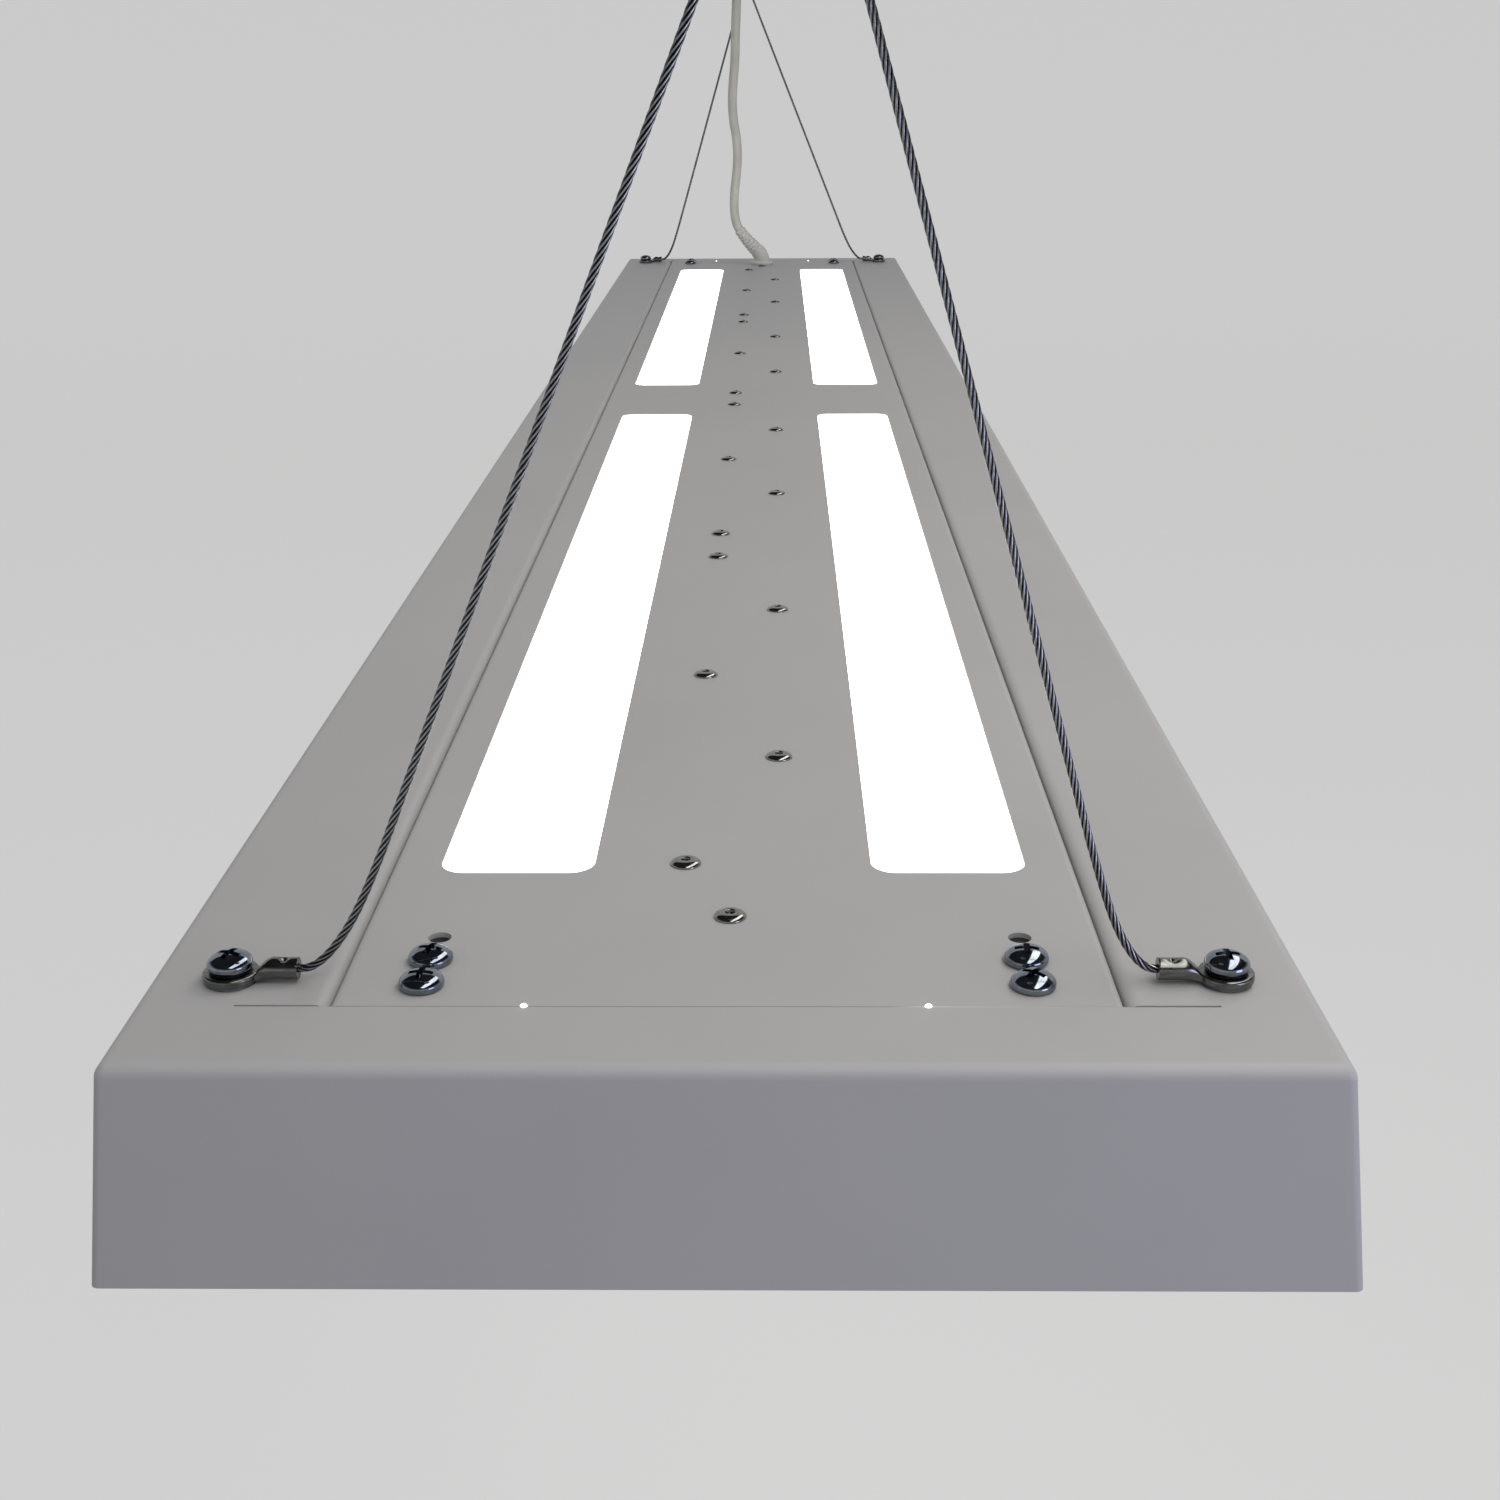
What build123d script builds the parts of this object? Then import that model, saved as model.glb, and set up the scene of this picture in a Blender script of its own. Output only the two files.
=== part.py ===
"""Linear LED pendant light: a long folded tray that hangs level on two wire rope slings.

Lengths are in millimetres and +Z is up.  +Y runs along the tray, away from its near end.
The origin lies on the ceiling, straight above the middle of the tray.
"""
import math
import os

from build123d import *

os.makedirs("parts", exist_ok=True)

# Tray: one folded sheet with a long opening in its top
tray_width = 203.2
tray_length = 1219.2
tray_height = 39.6
skirt_flare = 4.0
sheet = 1.0
corner_radius = 1.5
top_bend = 2.4
end_flange = 20.5
lip_depth = 14.0
lip_bend = 2.4
return_width = 6.0
slit_width = 0.6
slit_reach = 16.0

# Centre panel: a shallow channel, upside down, flush with the tray's top
panel_width = 136.0
panel_bend = 1.6
seam_gap = 0.2
leak_notch_radius = 0.8
leak_notch_x = 34.5

# Light windows in the panel and the opal lens under each of them
window_width = 30.7
window_corner = 5.0
window_edge = 9.7
window_inset = 76.2
window_gap = 76.2
lens_margin = 4.0
lens_thickness = 2.0
lens_clearance = 0.25
lens_recess = 0.2

# Reflector pans and the boards that shine up through the windows
pan_depth = 17.0
pan_sheet = 0.8
pan_overrun = 6.0
pan_clearance = 0.3
up_board_width = 24.0
up_board_margin = 6.0
up_led_count = 15

# Boards that shine down, held under the panel by blind rivets in a zigzag
board_count = 4
board_gap = 6.3
board_end_gap = 6.6
board_width = 26.0
board_thickness = 1.6
led_length = 3.5
led_width = 2.8
led_height = 0.8
down_led_count = 13
rivet_x = 9.4
rivet_end = 12.0
rivet_per_board = 5
rivet_flange = 6.2
rivet_dome = 1.1
rivet_crown = 1.0
rivet_shank = 3.2
rivet_tail = 4.8
rivet_tail_length = 1.6
mandrel_hole = 1.9
mandrel_depth = 0.7
lone_rivet_edge = 6.0

# Pan head screws with a cross recess
screw_head = 8.0
screw_head_height = 2.9
screw_crown = 1.5
screw_thread = 4.0
screw_length = 8.0
recess_length = 4.6
recess_width = 1.1
recess_depth = 1.5
recess_taper = 8.0
screw_clearance = 0.15
bracket_screw_edge = 14.8
bracket_screw_inset = 37.6
bracket_screw_pitch = 9.6
bracket_row_holes = 3

# Cross brackets under the panel ends
bracket_sheet = 1.2
bracket_edge = 7.0
bracket_gap = 4.2
bracket_outer_inset = 5.0
bracket_leg = 12.0

# Hanger screws, washers, ring terminals, backing plates and nuts
hanger_screw_length = 10.0
hanger_shift = 2.025
hanger_inset = 30.0
washer_outer = 8.8
washer_thickness = 0.5
lock_outer = 7.2
lock_thickness = 1.1
lock_split = 0.8
ring_outer = 9.4
ring_thickness = 1.1
barrel_outer = 4.0
terminal_length = 12.0
barrel_overlap = 0.4
barrel_height = 2.0
crimp_depth = 0.45
crimp_length = 3.0
hanger_plate_width = 16.0
hanger_plate_length = 20.0
hanger_plate_thickness = 1.5
nut_width = 7.0
nut_height = 3.2
thread_clearance = 0.1

# Wire rope slings and the fittings that hold them at the top
cable_diameter = 1.5
cable_clearance = 0.05
sling_height = 200.0
hook_offset = 11.0
sling_lead_out = 3.0
sling_knee_radius = 6.0
sling_rise_run = 5.4
sling_rise_z = 8.8
sling_rise_radius = 24.0
socket_offset = 2.5
socket_depth = 4.0

# Two-way swivel: fork, cross and yoke
cross_block = 9.4
trunnion = 4.0
trunnion_clearance = 0.05
ear_gap = 0.3
ear_thickness = 5.0
ear_width = 8.0
pivot_drop = 16.0
fork_boss = 24.0
fork_boss_height = 4.0
fork_stud = 8.0
fork_stud_clearance = 0.1
yoke_span = 26.0
yoke_drop = 9.0
yoke_bar = 6.0
yoke_edge = 1.0

# Ceiling discs
disc_diameter = 72.0
disc_thickness = 6.0
disc_edge = 1.5
disc_hole = 4.5
disc_hole_spacing = 52.0

# Supply cord, its angled strain relief and its ceiling bushing
cord_diameter = 6.5
cord_fit = 0.05
cord_lead_out = 9.0
relief_gap = 1.3
relief_flange = 16.0
relief_flange_height = 2.5
relief_neck = 10.8
relief_knee = 6.5
relief_reach = 13.0
relief_angle = 45.0
relief_socket = 8.0
relief_shank = 11.0
relief_tail = 6.0
relief_nut = 16.0
relief_nut_height = 3.5
relief_clearance = 0.2
bushing_left = 6.0
bushing_ahead = 23.6
bushing_flange = 14.0
bushing_flange_height = 2.0
bushing_body = 10.0
bushing_clearance = 0.1

# Drivers, terminal block and leads inside the tray
driver_margin = 4.55
driver_height = 21.0
driver_length = 380.0
driver_gap = 0.3
driver_edge = 2.0
driver_screw_inset = 14.0
driver_screw_drop = 8.0
driver_screw_head = 5.5
driver_screw_head_height = 1.6
driver_screw_thread = 3.0
driver_screw_bite = 6.0
driver_hole_spare = 1.0
block_length = 30.0
block_width = 18.0
block_height = 16.0
block_gap = 2.2
block_inset = 40.0
wire_diameter = 1.8
wire_pitch = 2.6
wire_count = 3
wire_drop = 4.0
wire_bend = 3.0
lead_diameter = 4.6
lead_drop = 13.0
lead_bend = 11.0
lead_spread = 7.0
lead_tuck = 14.0

# Bottom diffuser
diffuser_thickness = 2.0
diffuser_clearance = 0.6

# Heights and places that follow from the sizes above
pivot_z = -(disc_thickness + pivot_drop)
top_z = pivot_z - sling_height
bottom_z = top_z - tray_height
bottom_width = tray_width + 2 * skirt_flare
bottom_length = tray_length + 2 * skirt_flare
flare_angle = math.degrees(math.atan2(skirt_flare, tray_height))
sheet_across = sheet / math.cos(math.radians(flare_angle))
under_z = top_z - sheet
opening_x = panel_width / 2 + seam_gap
opening_y = tray_length / 2 - end_flange
bend_x = opening_x + lip_bend
panel_length = 2 * (opening_y - seam_gap)
window_x = panel_width / 2 - window_edge - window_width / 2
window_length = (tray_length - 2 * window_inset - window_gap) / 2
window_y = (window_gap + window_length) / 2
window_points = [(sx * window_x, sy * window_y) for sx in (-1, 1) for sy in (-1, 1)]
pan_inside = window_width + 2 * lens_margin + 2 * pan_clearance
pan_length = window_gap + 2 * window_length + 2 * lens_margin + 2 * pan_overrun
pan_floor_z = under_z - pan_depth
bracket_inner_y = pan_length / 2 + bracket_gap
bracket_outer_y = tray_length / 2 - bracket_outer_inset
bracket_under_z = under_z - bracket_sheet
screw_hole = screw_thread + 2 * screw_clearance
bracket_screw_x = panel_width / 2 - bracket_screw_edge
bracket_screw_y = tray_length / 2 - bracket_screw_inset
row_steps = [i - (bracket_row_holes - 1) / 2 for i in range(bracket_row_holes)]
bracket_screws_at = [
    (sx * bracket_screw_x, sy * (bracket_screw_y + step * bracket_screw_pitch))
    for sx in (-1, 1)
    for sy in (-1, 1)
    for step in row_steps[1:]
]
empty_holes_at = [
    (sx * bracket_screw_x, sy * (bracket_screw_y + row_steps[0] * bracket_screw_pitch))
    for sx in (-1, 1)
    for sy in (-1, 1)
]
board_run = 2 * (bracket_inner_y - board_end_gap)
board_length = (board_run - (board_count - 1) * board_gap) / board_count
board_centres = [(i - (board_count - 1) / 2) * (board_length + board_gap) for i in range(board_count)]
board_under_z = under_z - board_thickness
rivet_hole = rivet_shank + 2 * screw_clearance
rivet_pitch = (board_length - 2 * rivet_end) / (rivet_per_board - 1)
rivet_steps = [i - (rivet_per_board - 1) / 2 for i in range(rivet_per_board)]
rivet_sides = [-1 if i % 2 == 0 else 1 for i in range(rivet_per_board)]
zigzag = [
    (side * rivet_x, centre + step * rivet_pitch)
    for centre in board_centres
    for side, step in zip(rivet_sides, rivet_steps)
]
lone_rivet_y = bracket_inner_y + lone_rivet_edge
lone_rivets = [(0, -lone_rivet_y), (0, lone_rivet_y)]
relief_y = lone_rivet_y + rivet_flange / 2 + relief_gap + relief_flange / 2
flange_mid_x = (tray_width / 2 + opening_x) / 2
hanger_x = flange_mid_x + hanger_shift
barrel_end_x = hanger_x - terminal_length
ring_z = top_z + washer_thickness
lock_z = ring_z + ring_thickness
barrel_z = ring_z + barrel_height
hook_y = tray_length / 2 - hanger_inset
hook_line = Vector(-2 * hook_offset, 2 * hook_y, 0).normalized()
hangers_at = [(sx * hanger_x, sy * hook_y) for sx in (-1, 1) for sy in (-1, 1)]
bushing_x = -hook_offset - bushing_left
bushing_y = hook_y - bushing_ahead
driver_x = opening_x + sheet + driver_gap
driver_width = tray_width / 2 - top_bend - driver_margin - driver_x
driver_screw_y = driver_length / 2 - driver_screw_inset
driver_screw_z = top_z - driver_screw_drop


def hook_point(end):
    """Centre of the swivel above one end of the tray: -1 is the near end, 1 the far end."""
    return Vector(-end * hook_offset, end * hook_y, pivot_z)


# Folded tray
with BuildPart() as hollow:
    with BuildSketch(Plane.XY.offset(bottom_z + sheet)):
        Rectangle(
            bottom_width - 2 * sheet_across - 2 * sheet * skirt_flare / tray_height,
            bottom_length - 2 * sheet_across - 2 * sheet * skirt_flare / tray_height,
        )
    extrude(amount=tray_height - 2 * sheet, taper=flare_angle)
    fillet(hollow.faces().sort_by(Axis.Z)[-1].edges(), top_bend - sheet)

with BuildPart() as tray:
    with BuildSketch(Plane.XY.offset(bottom_z)):
        Rectangle(bottom_width, bottom_length)
    extrude(amount=tray_height, taper=flare_angle)
    fillet(tray.edges().filter_by(lambda e: abs((e % 0.5).Z) > 0.5), corner_radius)
    fillet(tray.faces().sort_by(Axis.Z)[-1].edges(), top_bend)
    add(hollow.part, mode=Mode.SUBTRACT)
    with BuildSketch(Plane.XY.offset(bottom_z)):
        Rectangle(
            bottom_width - 2 * sheet_across - 2 * return_width,
            bottom_length - 2 * sheet_across - 2 * return_width,
        )
    extrude(amount=2 * sheet, mode=Mode.SUBTRACT)
    with BuildSketch(Plane.XY.offset(top_z)):
        Rectangle(2 * bend_x, 2 * opening_y)
    extrude(amount=-2 * sheet, mode=Mode.SUBTRACT)
    for side in (-1, 1):
        with BuildSketch(Plane.XZ):
            with BuildLine():
                CenterArc((side * bend_x, top_z - lip_bend), lip_bend, 90, side * 90)
                Polyline(
                    (side * opening_x, top_z - lip_bend),
                    (side * opening_x, top_z - lip_depth),
                    (side * (opening_x + sheet), top_z - lip_depth),
                    (side * (opening_x + sheet), top_z - lip_bend),
                )
                CenterArc((side * bend_x, top_z - lip_bend), lip_bend - sheet, 90, side * 90)
                Line((side * bend_x, under_z), (side * bend_x, top_z))
            make_face()
        extrude(amount=opening_y - slit_width, both=True)
    with BuildSketch(Plane.XY.offset(top_z)):
        with GridLocations(2 * opening_x + slit_reach, 2 * opening_y - slit_width, 2, 2):
            Rectangle(slit_reach, slit_width)
    extrude(amount=-2 * sheet - lip_bend, mode=Mode.SUBTRACT)
    with BuildSketch(Plane.XY.offset(top_z)):
        with Locations(hangers_at):
            Circle(screw_hole / 2)
    extrude(amount=-2 * sheet, mode=Mode.SUBTRACT)
    with BuildSketch(Plane.YZ):
        with GridLocations(2 * driver_screw_y, 0, 2, 1):
            with Locations((0, driver_screw_z)):
                Circle(driver_screw_thread / 2 + screw_clearance)
    extrude(amount=opening_x + 2 * sheet, both=True, mode=Mode.SUBTRACT)
tray.part.label = "tray"
export_step(tray.part, "parts/tray.step")

# Centre panel
with BuildPart() as panel:
    with BuildSketch(Plane.XZ):
        with Locations((0, top_z)):
            Rectangle(panel_width, lip_depth, align=(Align.CENTER, Align.MAX))
        with Locations((0, top_z - sheet)):
            Rectangle(panel_width - 2 * sheet, lip_depth, align=(Align.CENTER, Align.MAX), mode=Mode.SUBTRACT)
    extrude(amount=panel_length / 2, both=True)
    fillet(panel.edges().filter_by(Axis.Y).group_by(Axis.Z)[-1], panel_bend)
    inner_bends = panel.edges().filter_by(Axis.Y).filter_by(
        lambda e: abs(abs(e.center().X) - panel_width / 2 + sheet) < 0.01 and abs(e.center().Z - under_z) < 0.01
    )
    fillet(inner_bends, panel_bend - sheet)
    with BuildSketch(Plane.XY.offset(top_z)):
        with Locations(window_points):
            RectangleRounded(window_width, window_length, window_corner)
        with Locations(zigzag + lone_rivets):
            Circle(rivet_hole / 2)
        with Locations(bracket_screws_at + empty_holes_at):
            Circle(screw_hole / 2)
        with Locations((0, relief_y)):
            Circle(relief_shank / 2 + relief_clearance)
        with GridLocations(2 * leak_notch_x, panel_length, 2, 2):
            Circle(leak_notch_radius)
    extrude(amount=-2 * sheet, mode=Mode.SUBTRACT)
    with BuildSketch(Plane.YZ):
        with GridLocations(2 * driver_screw_y, 0, 2, 1):
            with Locations((0, driver_screw_z)):
                Circle(driver_screw_thread / 2 + screw_clearance)
    extrude(amount=panel_width, both=True, mode=Mode.SUBTRACT)
panel.part.label = "centre_panel"
export_step(panel.part, "parts/centre_panel.step")


def opal_lens(place):
    """Opal plate under one window, with a pad that fills the window."""
    with BuildPart() as lens:
        with BuildSketch(Plane.XY.offset(under_z)):
            with Locations(place):
                Rectangle(window_width + 2 * lens_margin, window_length + 2 * lens_margin)
        extrude(amount=-lens_thickness)
        with BuildSketch(Plane.XY.offset(under_z)):
            with Locations(place):
                RectangleRounded(
                    window_width - 2 * lens_clearance,
                    window_length - 2 * lens_clearance,
                    window_corner - lens_clearance,
                )
        extrude(amount=sheet - lens_recess)
    return lens


near_left_lens = opal_lens((-window_x, -window_y))
near_left_lens.part.label = "near_left_lens"
export_step(near_left_lens.part, "parts/near_left_lens.step")

near_right_lens = opal_lens((window_x, -window_y))
near_right_lens.part.label = "near_right_lens"
export_step(near_right_lens.part, "parts/near_right_lens.step")

far_left_lens = opal_lens((-window_x, window_y))
far_left_lens.part.label = "far_left_lens"
export_step(far_left_lens.part, "parts/far_left_lens.step")

far_right_lens = opal_lens((window_x, window_y))
far_right_lens.part.label = "far_right_lens"
export_step(far_right_lens.part, "parts/far_right_lens.step")


# Reflector pans under the windows
def reflector_pan(side):
    """Long channel, open at the top, that closes against the panel's underside."""
    with BuildPart() as pan:
        with BuildSketch(Plane.XY.offset(under_z)):
            with Locations((side * window_x, 0)):
                Rectangle(pan_inside + 2 * pan_sheet, pan_length)
        extrude(amount=-pan_depth)
        with BuildSketch(Plane.XY.offset(under_z)):
            with Locations((side * window_x, 0)):
                Rectangle(pan_inside, pan_length - 2 * pan_sheet)
        extrude(amount=-(pan_depth - pan_sheet), mode=Mode.SUBTRACT)
    return pan


left_pan = reflector_pan(-1)
left_pan.part.label = "left_pan"
export_step(left_pan.part, "parts/left_pan.step")

right_pan = reflector_pan(1)
right_pan.part.label = "right_pan"
export_step(right_pan.part, "parts/right_pan.step")

# Boards and chips that shine up
up_board_length = window_length - 2 * up_board_margin
up_board_z = pan_floor_z + pan_sheet
up_led_pitch = up_board_length / up_led_count

with BuildPart() as up_boards:
    with BuildSketch(Plane.XY.offset(up_board_z)):
        with Locations(window_points):
            Rectangle(up_board_width, up_board_length)
    extrude(amount=board_thickness)
up_boards.part.label = "up_boards"
export_step(up_boards.part, "parts/up_boards.step")

with BuildPart() as up_leds:
    with BuildSketch(Plane.XY.offset(up_board_z + board_thickness)):
        with Locations(window_points):
            with GridLocations(0, up_led_pitch, 1, up_led_count):
                Rectangle(led_width, led_length)
    extrude(amount=led_height)
up_leds.part.label = "up_leds"
export_step(up_leds.part, "parts/up_leds.step")

# Boards and chips that shine down
board_points = [(0, centre) for centre in board_centres]
down_led_pitch = board_length / down_led_count

with BuildPart() as down_boards:
    with BuildSketch(Plane.XY.offset(under_z)):
        with Locations(board_points):
            Rectangle(board_width, board_length)
        with Locations(zigzag):
            Circle(rivet_hole / 2, mode=Mode.SUBTRACT)
    extrude(amount=-board_thickness)
down_boards.part.label = "down_boards"
export_step(down_boards.part, "parts/down_boards.step")

with BuildPart() as down_leds:
    with BuildSketch(Plane.XY.offset(board_under_z)):
        with Locations(board_points):
            with GridLocations(0, down_led_pitch, 1, down_led_count):
                Rectangle(led_width, led_length)
    extrude(amount=-led_height)
down_leds.part.label = "down_leds"
export_step(down_leds.part, "parts/down_leds.step")


def blind_rivet(grip):
    """Set rivet with a low dome, the hole its mandrel left, and a tail under the grip."""
    with BuildPart() as rivet:
        with BuildSketch(Plane.XY):
            Circle(rivet_flange / 2)
        extrude(amount=rivet_dome)
        fillet(rivet.faces().sort_by(Axis.Z)[-1].edges(), rivet_crown)
        with BuildSketch(Plane.XY):
            Circle(rivet_shank / 2)
        extrude(amount=-grip)
        with BuildSketch(Plane.XY.offset(-grip)):
            Circle(rivet_tail / 2)
        extrude(amount=-rivet_tail_length)
        with BuildSketch(Plane.XY.offset(rivet_dome)):
            Circle(mandrel_hole / 2)
        extrude(amount=-mandrel_depth, mode=Mode.SUBTRACT)
    return rivet


board_rivet = blind_rivet(sheet + board_thickness)
bracket_rivet = blind_rivet(sheet + bracket_sheet)

with BuildPart() as rivets:
    with Locations([(x, y, top_z) for x, y in zigzag]):
        add(board_rivet.part)
    with Locations([(x, y, top_z) for x, y in lone_rivets]):
        add(bracket_rivet.part)
rivets.part.label = "rivets"
export_step(rivets.part, "parts/rivets.step")

# Cross brackets
bracket_width = panel_width - 2 * bracket_edge
bracket_mid_y = (bracket_inner_y + bracket_outer_y) / 2
bracket_depth = bracket_outer_y - bracket_inner_y


def cross_bracket(end):
    """Angle under one end of the panel, riveted and screwed to it, that ties it to the tray."""
    with BuildPart() as bracket:
        with BuildSketch(Plane.XY.offset(under_z)):
            with Locations((0, end * bracket_mid_y)):
                Rectangle(bracket_width, bracket_depth)
            with Locations([p for p in bracket_screws_at if p[1] * end > 0]):
                Circle(screw_hole / 2, mode=Mode.SUBTRACT)
            with Locations((0, end * lone_rivet_y)):
                Circle(rivet_hole / 2, mode=Mode.SUBTRACT)
            if end > 0:
                with Locations((0, relief_y)):
                    Circle(relief_shank / 2 + relief_clearance, mode=Mode.SUBTRACT)
        extrude(amount=-bracket_sheet)
        with BuildSketch(Plane.XY.offset(bracket_under_z)):
            with Locations((0, end * (bracket_inner_y + bracket_sheet / 2))):
                Rectangle(bracket_width, bracket_sheet)
        extrude(amount=-bracket_leg)
    return bracket


near_bracket = cross_bracket(-1)
near_bracket.part.label = "near_bracket"
export_step(near_bracket.part, "parts/near_bracket.step")

far_bracket = cross_bracket(1)
far_bracket.part.label = "far_bracket"
export_step(far_bracket.part, "parts/far_bracket.step")


# Screws
def pan_screw(length):
    """Pan head screw whose head stands on zero height."""
    with BuildPart() as screw:
        with BuildSketch(Plane.XY):
            Circle(screw_head / 2)
        extrude(amount=screw_head_height)
        fillet(screw.faces().sort_by(Axis.Z)[-1].edges(), screw_crown)
        with BuildSketch(Plane.XY):
            Circle(screw_thread / 2)
        extrude(amount=-length)
        with BuildSketch(Plane.XY.offset(screw_head_height)):
            Rectangle(recess_length, recess_width)
            Rectangle(recess_width, recess_length)
        extrude(amount=-recess_depth, taper=recess_taper, mode=Mode.SUBTRACT)
    return screw


bracket_screw = pan_screw(screw_length)
hanger_screw = pan_screw(hanger_screw_length)

with BuildPart() as bracket_screws:
    with Locations([(x, y, top_z) for x, y in bracket_screws_at]):
        add(bracket_screw.part)
bracket_screws.part.label = "bracket_screws"
export_step(bracket_screws.part, "parts/bracket_screws.step")

with BuildPart() as hanger_screws:
    with Locations([(x, y, lock_z + lock_thickness) for x, y in hangers_at]):
        add(hanger_screw.part)
hanger_screws.part.label = "hanger_screws"
export_step(hanger_screws.part, "parts/hanger_screws.step")

# Washers: a flat one under each ring terminal, and a split one between the ring and the screw's head
with BuildPart() as hanger_washers:
    with BuildSketch(Plane.XY.offset(top_z)):
        with Locations(hangers_at):
            Circle(washer_outer / 2)
        with Locations(hangers_at):
            Circle(screw_hole / 2, mode=Mode.SUBTRACT)
    extrude(amount=washer_thickness)
hanger_washers.part.label = "hanger_washers"
export_step(hanger_washers.part, "parts/hanger_washers.step")

with BuildPart() as lock_washers:
    with BuildSketch(Plane.XY.offset(lock_z)):
        with Locations(hangers_at):
            Circle(lock_outer / 2)
        with Locations(hangers_at):
            Circle(screw_hole / 2, mode=Mode.SUBTRACT)
            Rectangle(lock_outer / 2, lock_split, align=(Align.MIN, Align.CENTER), mode=Mode.SUBTRACT)
    extrude(amount=lock_thickness)
lock_washers.part.label = "lock_washers"
export_step(lock_washers.part, "parts/lock_washers.step")

# Ring terminals: a flat ring with a crimped barrel that points to the middle of the tray
ring_reach = terminal_length - ring_outer / 2 + barrel_overlap

with BuildPart() as terminal:
    with BuildSketch(Plane.XY):
        Circle(ring_outer / 2)
    extrude(amount=ring_thickness)
    with BuildSketch(Plane.XY):
        with Locations((-ring_outer / 2 + barrel_overlap, 0)):
            Rectangle(ring_reach / 2, barrel_outer, align=(Align.MAX, Align.CENTER))
    extrude(amount=ring_thickness)
    with BuildSketch(Plane.YZ.offset(-terminal_length)):
        with Locations((0, barrel_height)):
            Circle(barrel_outer / 2)
    extrude(amount=ring_reach)
    with BuildSketch(Plane.XY):
        Circle(screw_hole / 2)
    extrude(amount=barrel_outer + barrel_height, mode=Mode.SUBTRACT)
    with BuildSketch(Plane.XY.offset(barrel_height + barrel_outer / 2)):
        with Locations((ring_reach / 2 - terminal_length, 0)):
            Rectangle(crimp_length, barrel_outer)
    extrude(amount=-crimp_depth, mode=Mode.SUBTRACT)
    with BuildSketch(Plane.YZ.offset(-terminal_length)):
        with Locations((0, barrel_height)):
            Circle(cable_diameter / 2 + cable_clearance)
    extrude(amount=ring_reach, mode=Mode.SUBTRACT)

with BuildPart() as ring_terminals:
    with Locations([Location((hanger_x, end * hook_y, ring_z)) for end in (-1, 1)]):
        add(terminal.part)
    with Locations([Location((-hanger_x, end * hook_y, ring_z), (0, 0, 180)) for end in (-1, 1)]):
        add(terminal.part)
ring_terminals.part.label = "ring_terminals"
export_step(ring_terminals.part, "parts/ring_terminals.step")

with BuildPart() as hanger_plates:
    with BuildSketch(Plane.XY.offset(under_z)):
        with GridLocations(2 * flange_mid_x, 2 * hook_y, 2, 2):
            Rectangle(hanger_plate_width, hanger_plate_length)
        with Locations(hangers_at):
            Circle(screw_hole / 2, mode=Mode.SUBTRACT)
    extrude(amount=-hanger_plate_thickness)
hanger_plates.part.label = "hanger_plates"
export_step(hanger_plates.part, "parts/hanger_plates.step")

with BuildPart() as hanger_nuts:
    with BuildSketch(Plane.XY.offset(under_z - hanger_plate_thickness)):
        with Locations(hangers_at):
            RegularPolygon(nut_width / 2, 6, major_radius=False)
        with Locations(hangers_at):
            Circle(screw_thread / 2 + thread_clearance, mode=Mode.SUBTRACT)
    extrude(amount=-nut_height)
hanger_nuts.part.label = "hanger_nuts"
export_step(hanger_nuts.part, "parts/hanger_nuts.step")


# Drivers in the hollow sides of the tray
def led_driver(side):
    """Slim driver case beside the lip, with its two screw holes."""
    with BuildPart() as case:
        with BuildSketch(Plane.XY.offset(under_z)):
            with Locations((side * (driver_x + driver_width / 2), 0)):
                Rectangle(driver_width, driver_length)
        extrude(amount=-driver_height)
        fillet(case.edges().filter_by(Axis.Y), driver_edge)
        with BuildSketch(Plane.YZ.offset(side * driver_x)):
            with GridLocations(2 * driver_screw_y, 0, 2, 1):
                with Locations((0, driver_screw_z)):
                    Circle(driver_screw_thread / 2 + thread_clearance)
        extrude(amount=side * (driver_screw_bite + driver_hole_spare), mode=Mode.SUBTRACT)
    return case


left_driver = led_driver(-1)
left_driver.part.label = "left_driver"
export_step(left_driver.part, "parts/left_driver.step")

right_driver = led_driver(1)
right_driver.part.label = "right_driver"
export_step(right_driver.part, "parts/right_driver.step")

driver_head_x = panel_width / 2 - sheet
driver_shank = driver_x - driver_head_x + driver_screw_bite

with BuildPart() as driver_screw:
    Cylinder(
        driver_screw_head / 2,
        driver_screw_head_height,
        align=(Align.CENTER, Align.CENTER, Align.MIN),
    )
    Cylinder(driver_screw_thread / 2, driver_shank, align=(Align.CENTER, Align.CENTER, Align.MAX))

with BuildPart() as driver_screws:
    with Locations([Location((driver_head_x, s * driver_screw_y, driver_screw_z), (0, -90, 0)) for s in (-1, 1)]):
        add(driver_screw.part)
    with Locations([Location((-driver_head_x, s * driver_screw_y, driver_screw_z), (0, 90, 0)) for s in (-1, 1)]):
        add(driver_screw.part)
driver_screws.part.label = "driver_screws"
export_step(driver_screws.part, "parts/driver_screws.step")

# Terminal block under the far bracket
block_x = bracket_screw_x - screw_thread / 2 - block_gap - block_length / 2
block_y = tray_length / 2 - block_inset
block_under_z = bracket_under_z - block_height

with BuildPart() as terminal_block:
    with BuildSketch(Plane.XY.offset(bracket_under_z)):
        with Locations((block_x, block_y)):
            Rectangle(block_length, block_width)
    extrude(amount=-block_height)
terminal_block.part.label = "terminal_block"
export_step(terminal_block.part, "parts/terminal_block.step")

# Bottom diffuser, lying on the tray's return flange
diffuser_z = bottom_z + sheet
diffuser_loss = 2 * (sheet_across + diffuser_clearance)
diffuser_loss += 2 * (sheet + diffuser_thickness) * skirt_flare / tray_height

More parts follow.
